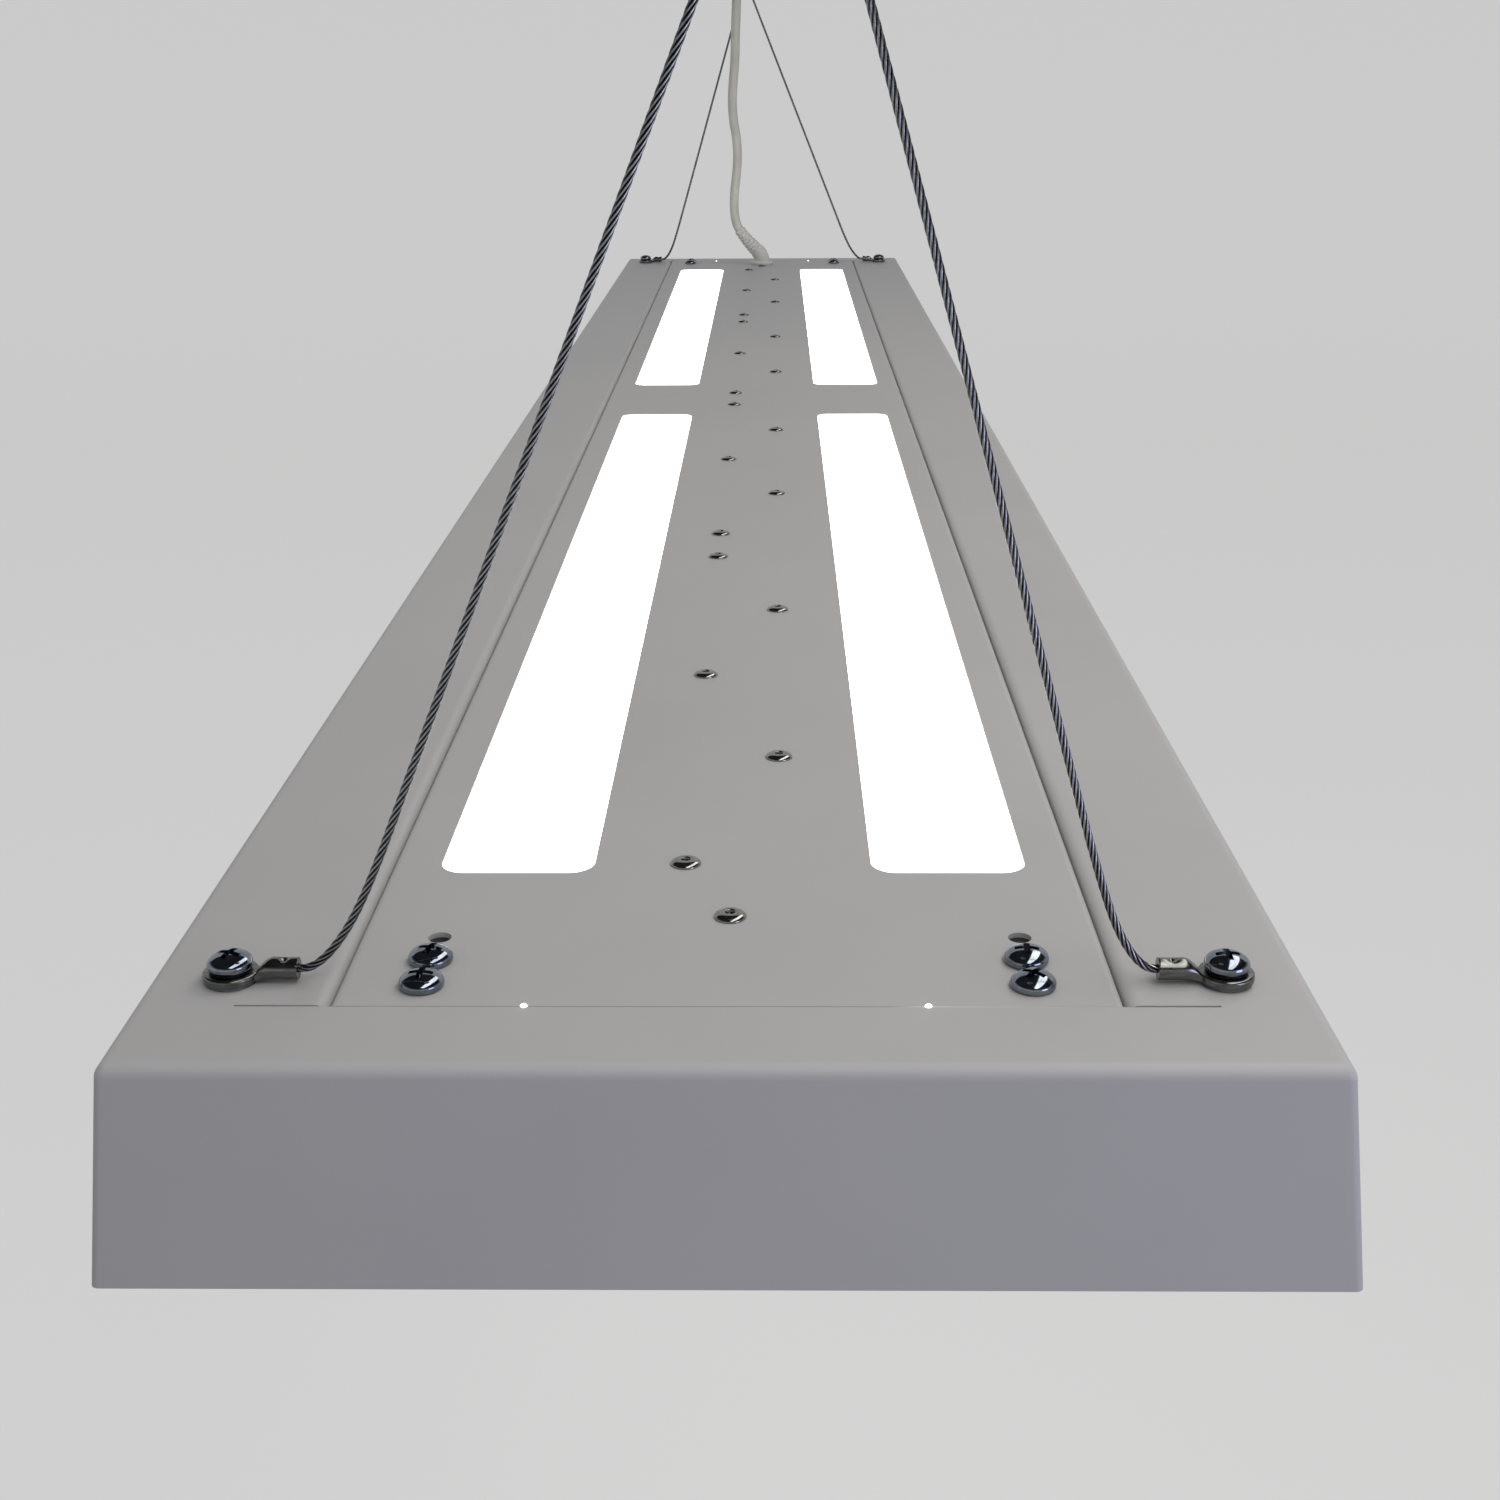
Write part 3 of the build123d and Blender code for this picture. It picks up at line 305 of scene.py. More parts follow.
def opal_acrylic_extruded_lit(tree, place, colour, strength):
    """Opal acrylic, extruded strip lit from behind: an even glow, barely brighter over the chips."""
    along = node(tree, PARTS, {"Vector": place})["Y"]
    # Chips sit 32.2 mm apart under the strip
    wave = node(tree, MATH, {0: along, 1: 2 * math.pi * per_metre(32.2)}, operation="MULTIPLY")[0]
    glow = node(tree, MATH, {0: wave}, operation="SINE")[0]
    tones = [(0.0, shade(colour, 0.93)), (1.0, shade(colour, 1.0))]
    haze = node(tree, NOISE, {"Vector": place, "Scale": per_metre(0.8), "Detail": 2.0})["Fac"]
    return {
        "Base Color": linear("#e9e8e3"), **surface(tree, haze, (0.28, 0.4), haze, 0.1, 0.03), "IOR": 1.49,
        "Emission Color": node(tree, RAMP, {"Fac": glow}, tones)["Color"], "Emission Strength": strength}


def opal_sheet_pressed_lit(tree, place, strength):
    """Opal sheet with a fine pressed texture: frosted, glowing evenly, a little warmer over the boards."""
    across = node(tree, PARTS, {"Vector": place})["X"]
    offset = node(tree, MATH, {0: across}, operation="ABSOLUTE")[0]
    spread = node(tree, RANGE, {"Value": offset, "From Max": 100 * MM})["Result"]
    tones = [(0.0, "#fffaf0"), (1.0, "#d9d6cf")]
    # Pressed pips are 2.4 mm apart
    pips = node(tree, "ShaderNodeTexVoronoi", {
        "Vector": place, "Scale": per_metre(2.4), "Randomness": 0.0})["Distance"]
    return {
        "Base Color": linear("#dfded9"), **surface(tree, pips, (0.3, 0.45), pips, 0.35, 0.3), "IOR": 1.49,
        "Emission Color": node(tree, RAMP, {"Fac": spread}, tones)["Color"], "Emission Strength": strength}


def steel_zinc_plated_bright(tree, place):
    """Steel screws, cold headed and bright zinc plated: mirror-like and bluish, with faint yellow patches."""
    patch = node(tree, NOISE, {
        "Vector": place, "Scale": per_metre(2.2), "Detail": 3.0, "Distortion": 0.6})["Fac"]
    tones = [(0.30, "#6c7480"), (0.55, "#878f9a"), (0.78, "#999a97")]
    # Plating follows the fine grain of the headed steel, drawn 0.25 mm across
    grain = node(tree, NOISE, {"Vector": place, "Scale": per_metre(0.25), "Detail": 2.0})["Fac"]
    return {
        "Base Color": node(tree, RAMP, {"Fac": patch}, tones)["Color"],
        **surface(tree, patch, (0.05, 0.13), grain, 0.08, 0.02), **METAL}


def steel_spring_zinc_painted_shade(tree, place):
    """Spring steel washers, coiled, quenched and plated: dull, grained round the coil, and dark as painted
    shade under the head.
    """
    layers = node(tree, MAPPING, {"Vector": place, "Scale": (0.3, 0.3, 1.0)})["Vector"]
    grain = node(tree, NOISE, {"Vector": layers, "Scale": per_metre(0.4), "Detail": 3.0})["Fac"]
    # Near-black tones are painted shade for the shadowed gap between the ring terminal and the screw head
    return {
        "Base Color": node(tree, RAMP, {"Fac": grain}, [(0.3, "#1b1c1f"), (0.7, "#33353a")])["Color"],
        **surface(tree, grain, (0.3, 0.45), grain, 0.12, 0.03), **METAL}


def aluminium_rivet_upset_bare(tree, place):
    """Aluminium rivets, upset and left bare: bright but softer than the plated screws."""
    skin = node(tree, NOISE, {"Vector": place, "Scale": per_metre(0.6), "Detail": 3.0})["Fac"]
    return {
        "Base Color": node(tree, RAMP, {"Fac": skin}, [(0.3, "#7a7b7b"), (0.7, "#9c9c98")])["Color"],
        **surface(tree, skin, (0.08, 0.18), skin, 0.1, 0.03), **METAL}


def copper_tinned_stamped(tree, place):
    """Ring terminals, stamped from copper and tinned: grey and satin, scuffed along the barrel."""
    drawn = node(tree, MAPPING, {"Vector": place, "Scale": (0.25, 1.0, 1.0)})["Vector"]
    scuff = node(tree, NOISE, {
        "Vector": drawn, "Scale": per_metre(0.7), "Detail": 4.0, "Roughness": 0.6})["Fac"]
    tones = [(0.3, "#5c5d5d"), (0.6, "#7c7d79"), (0.8, "#9a9a92")]
    return {
        "Base Color": node(tree, RAMP, {"Fac": scuff}, tones)["Color"],
        **surface(tree, scuff, (0.14, 0.30), scuff, 0.15, 0.04), **METAL}


def steel_wire_galvanised_stranded(tree, place):
    """Galvanised steel wire, drawn and stranded: painted shade between strands, and each crown lighter,
    partly from rubbing and partly as painted highlight.
    """
    # Crown runs from 0 where a strand faces the core to 1 on its outside, and masks the painted shade between
    # strands
    crown = node(tree, "ShaderNodeAttribute", attribute_name="crown")["Fac"]
    uv = node(tree, "ShaderNodeUVMap", uv_map="strand")["UV"]
    # Wires are under 0.15 mm thick, too fine for the picture, so the strand is drawn with streaks 0.8 mm long
    streak = node(tree, MAPPING, {"Vector": uv, "Scale": (4.0, per_metre(0.8), 1.0)})["Vector"]
    wires = node(tree, NOISE, {"Vector": streak, "Scale": 1.0, "Detail": 2.0})["Fac"]
    rubbed = node(tree, RANGE, {"Value": wires, "To Min": 0.75, "To Max": 1.15})["Result"]
    wear_and_painted_shade = node(tree, MATH, {0: crown, 1: rubbed}, operation="MULTIPLY")[0]
    # The dark end of the ramp is painted shade between strands; the light end is partly rubbed wear and
    # partly painted highlight
    tones = [(0.35, "#0c0d0f"), (0.7, "#3a3c42"), (0.98, "#9c9d9f")]
    grease = node(tree, NOISE, {"Vector": place, "Scale": per_metre(5), "Detail": 3.0})["Fac"]
    return {
        "Base Color": node(tree, RAMP, {"Fac": wear_and_painted_shade}, tones)["Color"],
        **surface(tree, grease, (0.16, 0.3), wires, 0.3, 0.04), **METAL}


def pvc_sheath_extruded(tree, place, colour):
    """White PVC jacket, extruded over twisted cores: satin, with die lines and a slow ripple."""
    uv = node(tree, "ShaderNodeUVMap", uv_map="jacket")["UV"]
    parts = node(tree, PARTS, {"Vector": uv})
    # Three cores turn once in 45 mm under the jacket
    wound = node(tree, MATH, {0: parts["Y"], 1: per_metre(45), 2: parts["X"]}, operation="MULTIPLY_ADD")[0]
    angle = node(tree, MATH, {0: wound, 1: 3 * 2 * math.pi}, operation="MULTIPLY")[0]
    ripple = node(tree, MATH, {0: angle}, operation="SINE")[0]
    # Die lines stand 60 to a turn and run for about 80 mm
    streak = node(tree, MAPPING, {"Vector": uv, "Scale": (60.0, 12.0, 1.0)})["Vector"]
    lines = node(tree, NOISE, {"Vector": streak, "Scale": 1.0, "Detail": 3.0})["Fac"]
    height = node(tree, MATH, {0: lines, 1: ripple}, operation="ADD")[0]
    soil = node(tree, NOISE, {"Vector": place, "Scale": per_metre(14), "Detail": 4.0})["Fac"]
    tones = [(0.35, shade(colour, 0.88)), (0.62, shade(colour, 1.0))]
    return {
        "Base Color": node(tree, RAMP, {"Fac": soil}, tones)["Color"],
        **surface(tree, lines, (0.40, 0.56), height, 0.35, 0.12), "IOR": 1.53}


def pvc_insulation_extruded(tree, place, colour):
    """Thin PVC insulation, extruded on single cores: smooth and a little shiny, with faint streaks."""
    streak = node(tree, NOISE, {"Vector": place, "Scale": per_metre(3), "Detail": 3.0})["Fac"]
    tones = [(0.3, shade(colour, 0.9)), (0.7, shade(colour, 1.0))]
    return {
        "Base Color": node(tree, RAMP, {"Fac": streak}, tones)["Color"],
        "Roughness": node(tree, RANGE, {"Value": streak, "To Min": 0.32, "To Max": 0.46})["Result"],
        "IOR": 1.53}


def nylon_injection_moulded(tree, place, colour):
    """Nylon, injection moulded: slightly waxy, with a fine spark-eroded grain."""
    # Spark erosion leaves pits near 0.1 mm, drawn 0.4 mm across so that they show
    grain = node(tree, NOISE, {"Vector": place, "Scale": per_metre(0.4), "Detail": 2.0})["Fac"]
    flow = node(tree, NOISE, {"Vector": place, "Scale": per_metre(12), "Detail": 2.0})["Fac"]
    tones = [(0.3, shade(colour, 0.92)), (0.7, shade(colour, 1.0))]
    return {
        "Base Color": node(tree, RAMP, {"Fac": flow}, tones)["Color"],
        **surface(tree, grain, (0.42, 0.55), grain, 0.15, 0.05), "IOR": 1.53}


def steel_sheet_galvanised_painted_shade(tree, place):
    """Sheet steel, hot dip galvanised: grey metal with spangles that catch the light one by one, toned dark
    as painted shade seen through the empty holes.
    """
    # Spangles are about 7 mm across
    spangle = node(tree, "ShaderNodeTexVoronoi", {"Vector": place, "Scale": per_metre(7)})["Color"]
    tone = node(tree, "ShaderNodeSeparateColor", {"Color": spangle})["Red"]
    # The dark tones are painted shade, so that the empty holes in the panel over the brackets look deep
    return {
        "Base Color": node(tree, RAMP, {"Fac": tone}, [(0.0, "#3e4144"), (1.0, "#585b5e")])["Color"],
        **surface(tree, tone, (0.28, 0.48), tone, 0.1, 0.05), **METAL}


def steel_turned_satin_nickel(tree, place):
    """Steel fittings, turned, tumbled and nickel plated: warm grey, with fine lines round the vertical."""
    # Turning leaves lines 0.3 mm apart, drawn as thin layers of tone
    layers = node(tree, MAPPING, {"Vector": place, "Scale": (0.06, 0.06, 1.0)})["Vector"]
    lines = node(tree, NOISE, {"Vector": layers, "Scale": per_metre(0.3), "Detail": 3.0})["Fac"]
    wear = node(tree, NOISE, {"Vector": place, "Scale": per_metre(9), "Detail": 4.0})["Fac"]
    return {
        "Base Color": node(tree, RAMP, {"Fac": wear}, [(0.3, "#a39f97"), (0.7, "#c2bfb7")])["Color"],
        **surface(tree, lines, (0.24, 0.42), lines, 0.12, 0.04), **METAL}


def aluminium_extruded_anodised(tree, place):
    """Aluminium driver cases, extruded and clear anodised: soft metal with draw lines along the length."""
    drawn = node(tree, MAPPING, {"Vector": place, "Scale": (1.0, 0.01, 1.0)})["Vector"]
    lines = node(tree, NOISE, {"Vector": drawn, "Scale": per_metre(0.5), "Detail": 3.0})["Fac"]
    return {
        "Base Color": node(tree, RAMP, {"Fac": lines}, [(0.3, "#a4a7aa"), (0.7, "#bfc1c3")])["Color"],
        **surface(tree, lines, (0.30, 0.46), lines, 0.15, 0.05), **METAL}


def stove_enamel_white(tree, place):
    """Steel reflector pans, white stove enamel: bright, a little glossy, with a low peel."""
    peel = node(tree, NOISE, {"Vector": place, "Scale": per_metre(2.5), "Detail": 2.0})["Fac"]
    return {
        "Base Color": node(tree, RAMP, {"Fac": peel}, [(0.3, "#e3e3df"), (0.7, "#eeeeea")])["Color"],
        **surface(tree, peel, (0.25, 0.38), peel, 0.15, 0.05)}


def glass_epoxy_white_mask(tree, place):
    """Glass epoxy boards under white solder mask: matt white, with tracks as low steps below it."""
    tracks = node(tree, "ShaderNodeTexBrick", {
        "Vector": place, "Scale": per_metre(12), "Mortar Size": 0.06,
        "Color1": linear("#e6e8e4"), "Color2": linear("#dfe2dd"), "Mortar": linear("#c9cec5")})
    gaps = tracks["Fac"]
    return {"Base Color": tracks["Color"], **surface(tree, gaps, (0.38, 0.5), gaps, 0.2, 0.05)}


def silicone_phosphor_moulded(tree, place):
    """Silicone with yellow phosphor, moulded over the chips: a waxy yellow pad that glows when lit."""
    grain = node(tree, NOISE, {"Vector": place, "Scale": per_metre(0.3), "Detail": 2.0})["Fac"]
    return {
        "Base Color": node(tree, RAMP, {"Fac": grain}, [(0.3, "#dcc04a"), (0.7, "#ecd873")])["Color"],
        "Roughness": node(tree, RANGE, {"Value": grain, "To Min": 0.3, "To Max": 0.5})["Result"],
        "Emission Color": linear("#fff3d0"), "Emission Strength": 1.0}


def light_in_notch(tree, place, colour, strength):
    """Light from inside the tray that shows in the notches: a clear point, a little warmer at its rim."""
    haze = node(tree, NOISE, {"Vector": place, "Scale": per_metre(0.9), "Detail": 1.0})["Fac"]
    tones = [(0.2, "#fff1dd"), (0.6, shade(colour, 1.0))]
    return {"Emission Color": node(tree, RAMP, {"Fac": haze}, tones)["Color"], "Emission Strength": strength}


def light_in_seam(tree, place):
    """The same light along the near seam: a pale streak beside the right-hand notch, else barely a line."""
    across = node(tree, PARTS, {"Vector": place})["X"]
    ends = {"From Min": -SEAM_HALF_MM * MM, "From Max": SEAM_HALF_MM * MM}
    run = node(tree, RANGE, {"Value": across, **ends})["Result"]
    tones = [(0.0, "#5c5c5a"), (0.70, "#6e6e6b"), (0.755, "#e9e5da"), (0.82, "#c4c0b6"), (1.0, "#8f8d87")]
    return {
        "Base Color": linear("#20201f"), "Roughness": 0.5,
        "Emission Color": node(tree, RAMP, {"Fac": run}, tones)["Color"], "Emission Strength": 1.0}


def studio_floor_rolled_paint(tree, place, colour, lift):
    """Studio floor, rolled matt paint: plain and pale, with the faintest stipple of the roller."""
    stipple = node(tree, NOISE, {"Vector": place, "Scale": per_metre(6), "Detail": 2.0})["Fac"]
    bump = node(tree, "ShaderNodeBump", {"Height": stipple, "Strength": 0.03, "Distance": 0.2 * MM})
    # The floor looks paler than it is lit, and adds no light to the object
    glow = node(tree, RANGE, {"Value": seen_ray(tree), "To Min": 0.0, "To Max": lift})["Result"]
    return {
        "Base Color": shade(colour, 0.45), "Roughness": 0.9, "Specular IOR Level": 0.1,
        "Normal": bump["Normal"],
        "Emission Color": colour, "Emission Strength": glow}


def new_object(name, data):
    """Link a mesh, curve, camera or lamp to the scene as an object at the origin."""
    made = bpy.data.objects.new(name, data)
    bpy.context.scene.collection.objects.link(made)
    return made


def smooth(mesh, sharp_degrees=None):
    """Shade a mesh smooth, but for edges sharper than the given angle."""
    for face in mesh.polygons:
        face.use_smooth = True
    if sharp_degrees is not None:
        mesh.set_sharp_from_angle(angle=math.radians(sharp_degrees))
    return mesh


def mesh_from(name, bm, sharp_degrees=None):
    """Turn a bmesh into a smooth shaded mesh whose faces point outwards."""
    bmesh.ops.recalc_face_normals(bm, faces=bm.faces[:])
    mesh = bpy.data.meshes.new(name)
    bm.to_mesh(mesh)
    bm.free()
    return smooth(mesh, sharp_degrees)


def evaluated_mesh(carrier):
    """Plain mesh of an object as its modifiers or its curve shape it."""
    bpy.context.view_layer.update()
    return bpy.data.meshes.new_from_object(carrier.evaluated_get(bpy.context.evaluated_depsgraph_get()))


def bridge(bm, low, high):
    """Join two rings with a band of faces; a ring of one point makes a tip."""
    sides = max(len(low), len(high))
    for k in range(sides):
        b = (k + 1) % sides
        if len(low) == 1:
            bm.faces.new((low[0], high[k], high[b]))
        elif len(high) == 1:
            bm.faces.new((low[k], low[b], high[0]))
        else:
            bm.faces.new((low[k], low[b], high[b], high[k]))


def skin_rings(bm, rings):
    """Closed skin over a row of rings, with a flat cap at either end."""
    for low, high in zip(rings, rings[1:]):
        bridge(bm, low, high)
    bm.faces.new(rings[0][::-1])
    bm.faces.new(rings[-1])


def lathe(bm, profile, sides, centre=(0.0, 0.0)):
    """Turn a profile of radius and height about the vertical, and return its rings."""
    rings = []
    for radius, height in profile:
        spokes = circle(sides) if radius > 1e-9 else [(0.0, 0.0)]
        x, y = centre
        rings.append([bm.verts.new((x + radius * c, y + radius * s, height)) for c, s in spokes])
    for low, high in zip(rings, rings[1:]):
        bridge(bm, low, high)
    return rings


def island_places(name):
    """Middle of each separate solid of a CAD node, in the order of Y and then X."""
    bm = bmesh.new()
    bm.from_mesh(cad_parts[name].data)
    bmesh.ops.remove_doubles(bm, verts=bm.verts[:], dist=1e-6)
    places, seen = [], set()
    for start in bm.verts:
        if start.index in seen:
            continue
        stack, found = [start], []
        seen.add(start.index)
        while stack:
            vert = stack.pop()
            found.append(vert.co.copy())
            for edge in vert.link_edges:
                other = edge.other_vert(vert)
                if other.index not in seen:
                    seen.add(other.index)
                    stack.append(other)
        low = Vector([min(c[i] for c in found) for i in range(3)])
        high = Vector([max(c[i] for c in found) for i in range(3)])
        places.append((low + high) / 2)
    bm.free()
    return sorted(places, key=lambda p: (round(p.y, 5), round(p.x, 5)))


def fastener_tree():
    """Node tree that sets a copy of one fastener on each point, turned by its heading and a little more."""
    tree = bpy.data.node_groups.new("fasteners_on_points", "GeometryNodeTree")
    inputs = (("Places", "Geometry"), ("Fastener", "Object"), ("Finish", "Material"))
    for name, kind in (*inputs, ("Largest Turn", "Float"), ("Seed", "Int")):
        tree.interface.new_socket(name, in_out="INPUT", socket_type="NodeSocket" + kind)
    tree.interface.new_socket("Fasteners", in_out="OUTPUT", socket_type="NodeSocketGeometry")
    given = node(tree, "NodeGroupInput")
    piece = node(tree, "GeometryNodeObjectInfo", {"Object": given["Fastener"]}, transform_space="ORIGINAL")
    # Sockets 2 and 3 are the least and the largest number, and output 1 is the number drawn
    chance = node(tree, "FunctionNodeRandomValue", {
        "Seed": given["Seed"], 2: -1.0, 3: 1.0}, data_type="FLOAT")[1]
    extra = node(tree, MATH, {0: chance, 1: given["Largest Turn"]}, operation="MULTIPLY")[0]
    heading = node(tree, "GeometryNodeInputNamedAttribute", {
        "Name": "heading"}, data_type="FLOAT")["Attribute"]
    turn = node(tree, MATH, {0: heading, 1: extra}, operation="ADD")[0]
    euler = node(tree, "ShaderNodeCombineXYZ", {"Z": turn})["Vector"]
    spin = node(tree, "FunctionNodeEulerToRotation", {"Euler": euler})["Rotation"]
    copies = node(tree, "GeometryNodeInstanceOnPoints", {
        "Points": given["Places"], "Instance": piece["Geometry"], "Rotation": spin})["Instances"]
    plain = node(tree, "GeometryNodeRealizeInstances", {"Geometry": copies})["Geometry"]
    painted = node(tree, "GeometryNodeSetMaterial", {
        "Geometry": plain, "Material": given["Finish"]})["Geometry"]
    node(tree, "NodeGroupOutput", {"Fasteners": painted})
    return tree


def set_fasteners(name, piece_mesh, places, headings, finish, turn, seed):
    """Place one fastener's mesh at each point with the node tree, and return one plain object."""
    tree = bpy.data.node_groups.get("fasteners_on_points") or fastener_tree()
    piece = new_object(name + "_pattern", piece_mesh)
    points = bpy.data.meshes.new(name + "_places")
    points.from_pydata([tuple(p) for p in places], [], [])
    points.attributes.new("heading", "FLOAT", "POINT").data.foreach_set("value", headings)
    carrier = new_object(name + "_places", points)
    modifier = carrier.modifiers.new("fasteners", "NODES")
    modifier.node_group = tree
    given = {"Fastener": piece, "Finish": finish, "Largest Turn": turn, "Seed": seed}
    for item in tree.interface.items_tree:
        if item.name in given:
            modifier[item.identifier] = given[item.name]
    mesh = evaluated_mesh(carrier)
    bpy.data.objects.remove(carrier)
    bpy.data.objects.remove(piece)
    if not mesh.polygons:
        raise RuntimeError(f"{name}: the node tree gave no faces")
    mesh.name = name
    mesh.materials.clear()
    mesh.materials.append(finish)
    return new_object(name, mesh)


def spline_points(name, route, per_run):
    """Points along the smooth curve that has the route's points as its control points."""
    curve = bpy.data.curves.new(name, "CURVE")
    curve.dimensions = "3D"
    curve.resolution_u = per_run
    spline = curve.splines.new("NURBS")
    spline.points.add(len(route) - 1)
    for point, place in zip(spline.points, route):
        point.co = (*place, 1.0)
    spline.use_endpoint_u = True
    spline.order_u = 3
    carrier = new_object(name, curve)
    mesh = evaluated_mesh(carrier)
    line = [vert.co.copy() for vert in mesh.vertices]
    bpy.data.objects.remove(carrier)
    bpy.data.meshes.remove(mesh)
    return line


def line_length(line):
    """Length of a line of points."""
    return sum((b - a).length for a, b in zip(line, line[1:]))


def even_points(line, step):
    """The same line with its points a steady step apart."""
    total = line_length(line)
    count = max(2, round(total / step))
    found, run, index = [], 0.0, 0
    for place in [total * i / count for i in range(count + 1)]:
        while index < len(line) - 2 and run + (line[index + 1] - line[index]).length < place:
            run += (line[index + 1] - line[index]).length
            index += 1
        piece = line[index + 1] - line[index]
        share = (place - run) / piece.length if piece.length > 1e-12 else 0.0
        found.append(line[index] + piece * min(max(share, 0.0), 1.0))
    return found


def line_frames(line):
    """Direction and two steady side directions at each point of a line."""
    ways = [(b - a).normalized() for a, b in zip(line[:1] + line[:-1], line[1:] + line[-1:])]
    side = ways[0].orthogonal().normalized()
    frames = []
    for way in ways:
        side = (side - way * side.dot(way)).normalized()
        frames.append((way, side, way.cross(side)))
    return frames


def tube(bm, line, radii, sides, uv_layer=None, start=0.0, frames=None):
    """Closed tube round a line of points, with its turn and its run in metres as a UV map."""
    rings, runs = [], [start]
    for a, b in zip(line, line[1:]):
        runs.append(runs[-1] + (b - a).length)
    for point, radius, (way, side, up) in zip(line, radii, frames or line_frames(line)):
        rings.append([bm.verts.new(point + (side * c + up * s) * radius) for c, s in circle(sides)])
    bands = len(bm.faces)
    skin_rings(bm, rings)
    if uv_layer is not None:
        bm.faces.ensure_lookup_table()
        for i in range(len(rings) - 1):
            for k in range(sides):
                corners = ((k, i), (k + 1, i), (k + 1, i + 1), (k, i + 1))
                for loop, (turn, place) in zip(bm.faces[bands + i * sides + k].loops, corners):
                    loop[uv_layer].uv = (turn / sides, runs[place])
    return rings


def finish_node(name, material):
    """Give a CAD node its finish."""
    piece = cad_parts[name]
    if not piece.material_slots:
        piece.data.materials.append(material)
    for slot in piece.material_slots:
        slot.material = material


class PENDANT_OT_camera(bpy.types.Operator):
    """Set up the camera at the photograph's viewing angle"""

    bl_idname = "pendant.camera"
    bl_label = "Camera"

    def execute(self, context):
        lens = bpy.data.cameras.new("camera")
        lens.lens = CAMERA_LENS_MM
        lens.sensor_width = 36.0
        lens.clip_start = 0.02
        lens.clip_end = 60.0
        camera = new_object("camera", lens)
        camera.location = Vector(CAMERA_PLACE_MM) * MM
        camera.rotation_euler = [math.radians(a) for a in CAMERA_TURN_DEGREES]
        context.scene.camera = camera
        return {"FINISHED"}


class PENDANT_OT_supply_cord(bpy.types.Operator):
    """Run the supply cord from the strain relief up to its ceiling bushing"""

    bl_idname = "pendant.supply_cord"
    bl_label = "Supply Cord"

    def execute(self, context):
        diameter = context.scene.pendant_rope.cord_diameter
        route = metres(CORD_ROUTE_MM)
        line = even_points(spline_points("supply_cord_route", route, 24), 1.2 * MM)
        frames = line_frames(line)
        sheath = new_finish(pvc_sheath_extruded, context.scene.pendant_paint.sheath)
        relief_top, bushing_foot = route[1], route[-1].copy()
        bushing_foot.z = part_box("cord_bushing")[0].z
        first, leaves = 0, Vector(CORD_EXIT_MM) * MM
        for name, below, above, top_mm in CORD_RUNS_MM:
            last = min(range(len(line)), key=lambda i: abs(line[i].z - top_mm * MM))
            run = line[first:last + 1]
            radii = [diameter / 2] * len(run)
            bm = bmesh.new()
            uv_layer = bm.loops.layers.uv.new("jacket")
            tube(bm, run, radii, 28, uv_layer, line_length(line[:first + 1]), frames[first:last + 1])
            cord = new_object(name, mesh_from(name, bm, 50))
            cord.data.materials.append(sheath)
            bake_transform(cord)
            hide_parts("supply_cord")
            first, leaves = last, run[-1]
        return {"FINISHED"}


class PENDANT_OT_wire_ropes(bpy.types.Operator):
    """Lay the strands of the four wire ropes"""

    bl_idname = "pendant.wire_ropes"
    bl_label = "Wire Ropes"

    def execute(self, context):
        sizes = context.scene.pendant_rope
        steel = new_finish(steel_wire_galvanised_stranded)
        strand_radius = sizes.rope_diameter / 2 / (1 + 1 / math.sin(math.pi / sizes.strands))
        lay_radius = sizes.rope_diameter / 2 - strand_radius
        core_radius = lay_radius - strand_radius * 0.9
        for name, across_mm, end in ROPES:
            route = metres((-end * x, end * SLING_Y_MM, z) for x, z in across_mm)
            line = even_points(spline_points(name + "_route", route, 40), 0.6 * MM)
            frames = line_frames(line)
            bm = bmesh.new()
            uv_layer = bm.loops.layers.uv.new("strand")
            crown_layer = bm.verts.layers.float.new("crown")
            tube(bm, line, [core_radius] * len(line), 8, uv_layer)
            step = line_length(line) / (len(line) - 1)
            for strand in range(sizes.strands):
                helix, outward = [], []
                for i, (point, (way, side, up)) in enumerate(zip(line, frames)):
                    angle = 2 * math.pi * (strand / sizes.strands + i * step / sizes.rope_lay)
                    outward.append(side * math.cos(angle) + up * math.sin(angle))
                    helix.append(point + outward[-1] * lay_radius)
                rings = tube(bm, helix, [strand_radius] * len(helix), 10, uv_layer)
                # Crown value of each point, from which the finish paints shade between the strands
                for ring, point, out in zip(rings, helix, outward):
                    for vert in ring:
                        vert[crown_layer] = 0.5 + 0.5 * (vert.co - point).normalized().dot(out)
            rope = new_object(name.replace("_cable", "_rope"), mesh_from(name, bm))
            rope.data.materials.append(steel)
            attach(rope, "near_sling" if end == NEAR else "far_sling")
            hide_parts(name)
        return {"FINISHED"}


class PENDANT_OT_strain_relief(bpy.types.Operator):
    """Mould the strain relief: a flange, an elbow and a tapered, ribbed sleeve round the cord"""

    bl_idname = "pendant.strain_relief"
    bl_label = "Strain Relief"

    def execute(self, context):
        foot = Vector((0.0, RELIEF_Y_MM * MM, TOP_Z))
        bm = bmesh.new()
        relief_sleeve(bm, foot)
        relief_flange(bm, foot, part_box("cord_relief")[0].z)
        relief = new_object("strain_relief", mesh_from("strain_relief", bm, 42))
        nylon = new_finish(nylon_injection_moulded, context.scene.pendant_paint.nylon)
        relief.data.materials.append(nylon)
        for name in ("relief_nut", "terminal_block", "cord_bushing"):
            finish_node(name, nylon)
        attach(relief, "lamp")
        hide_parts("cord_relief")
        return {"FINISHED"}


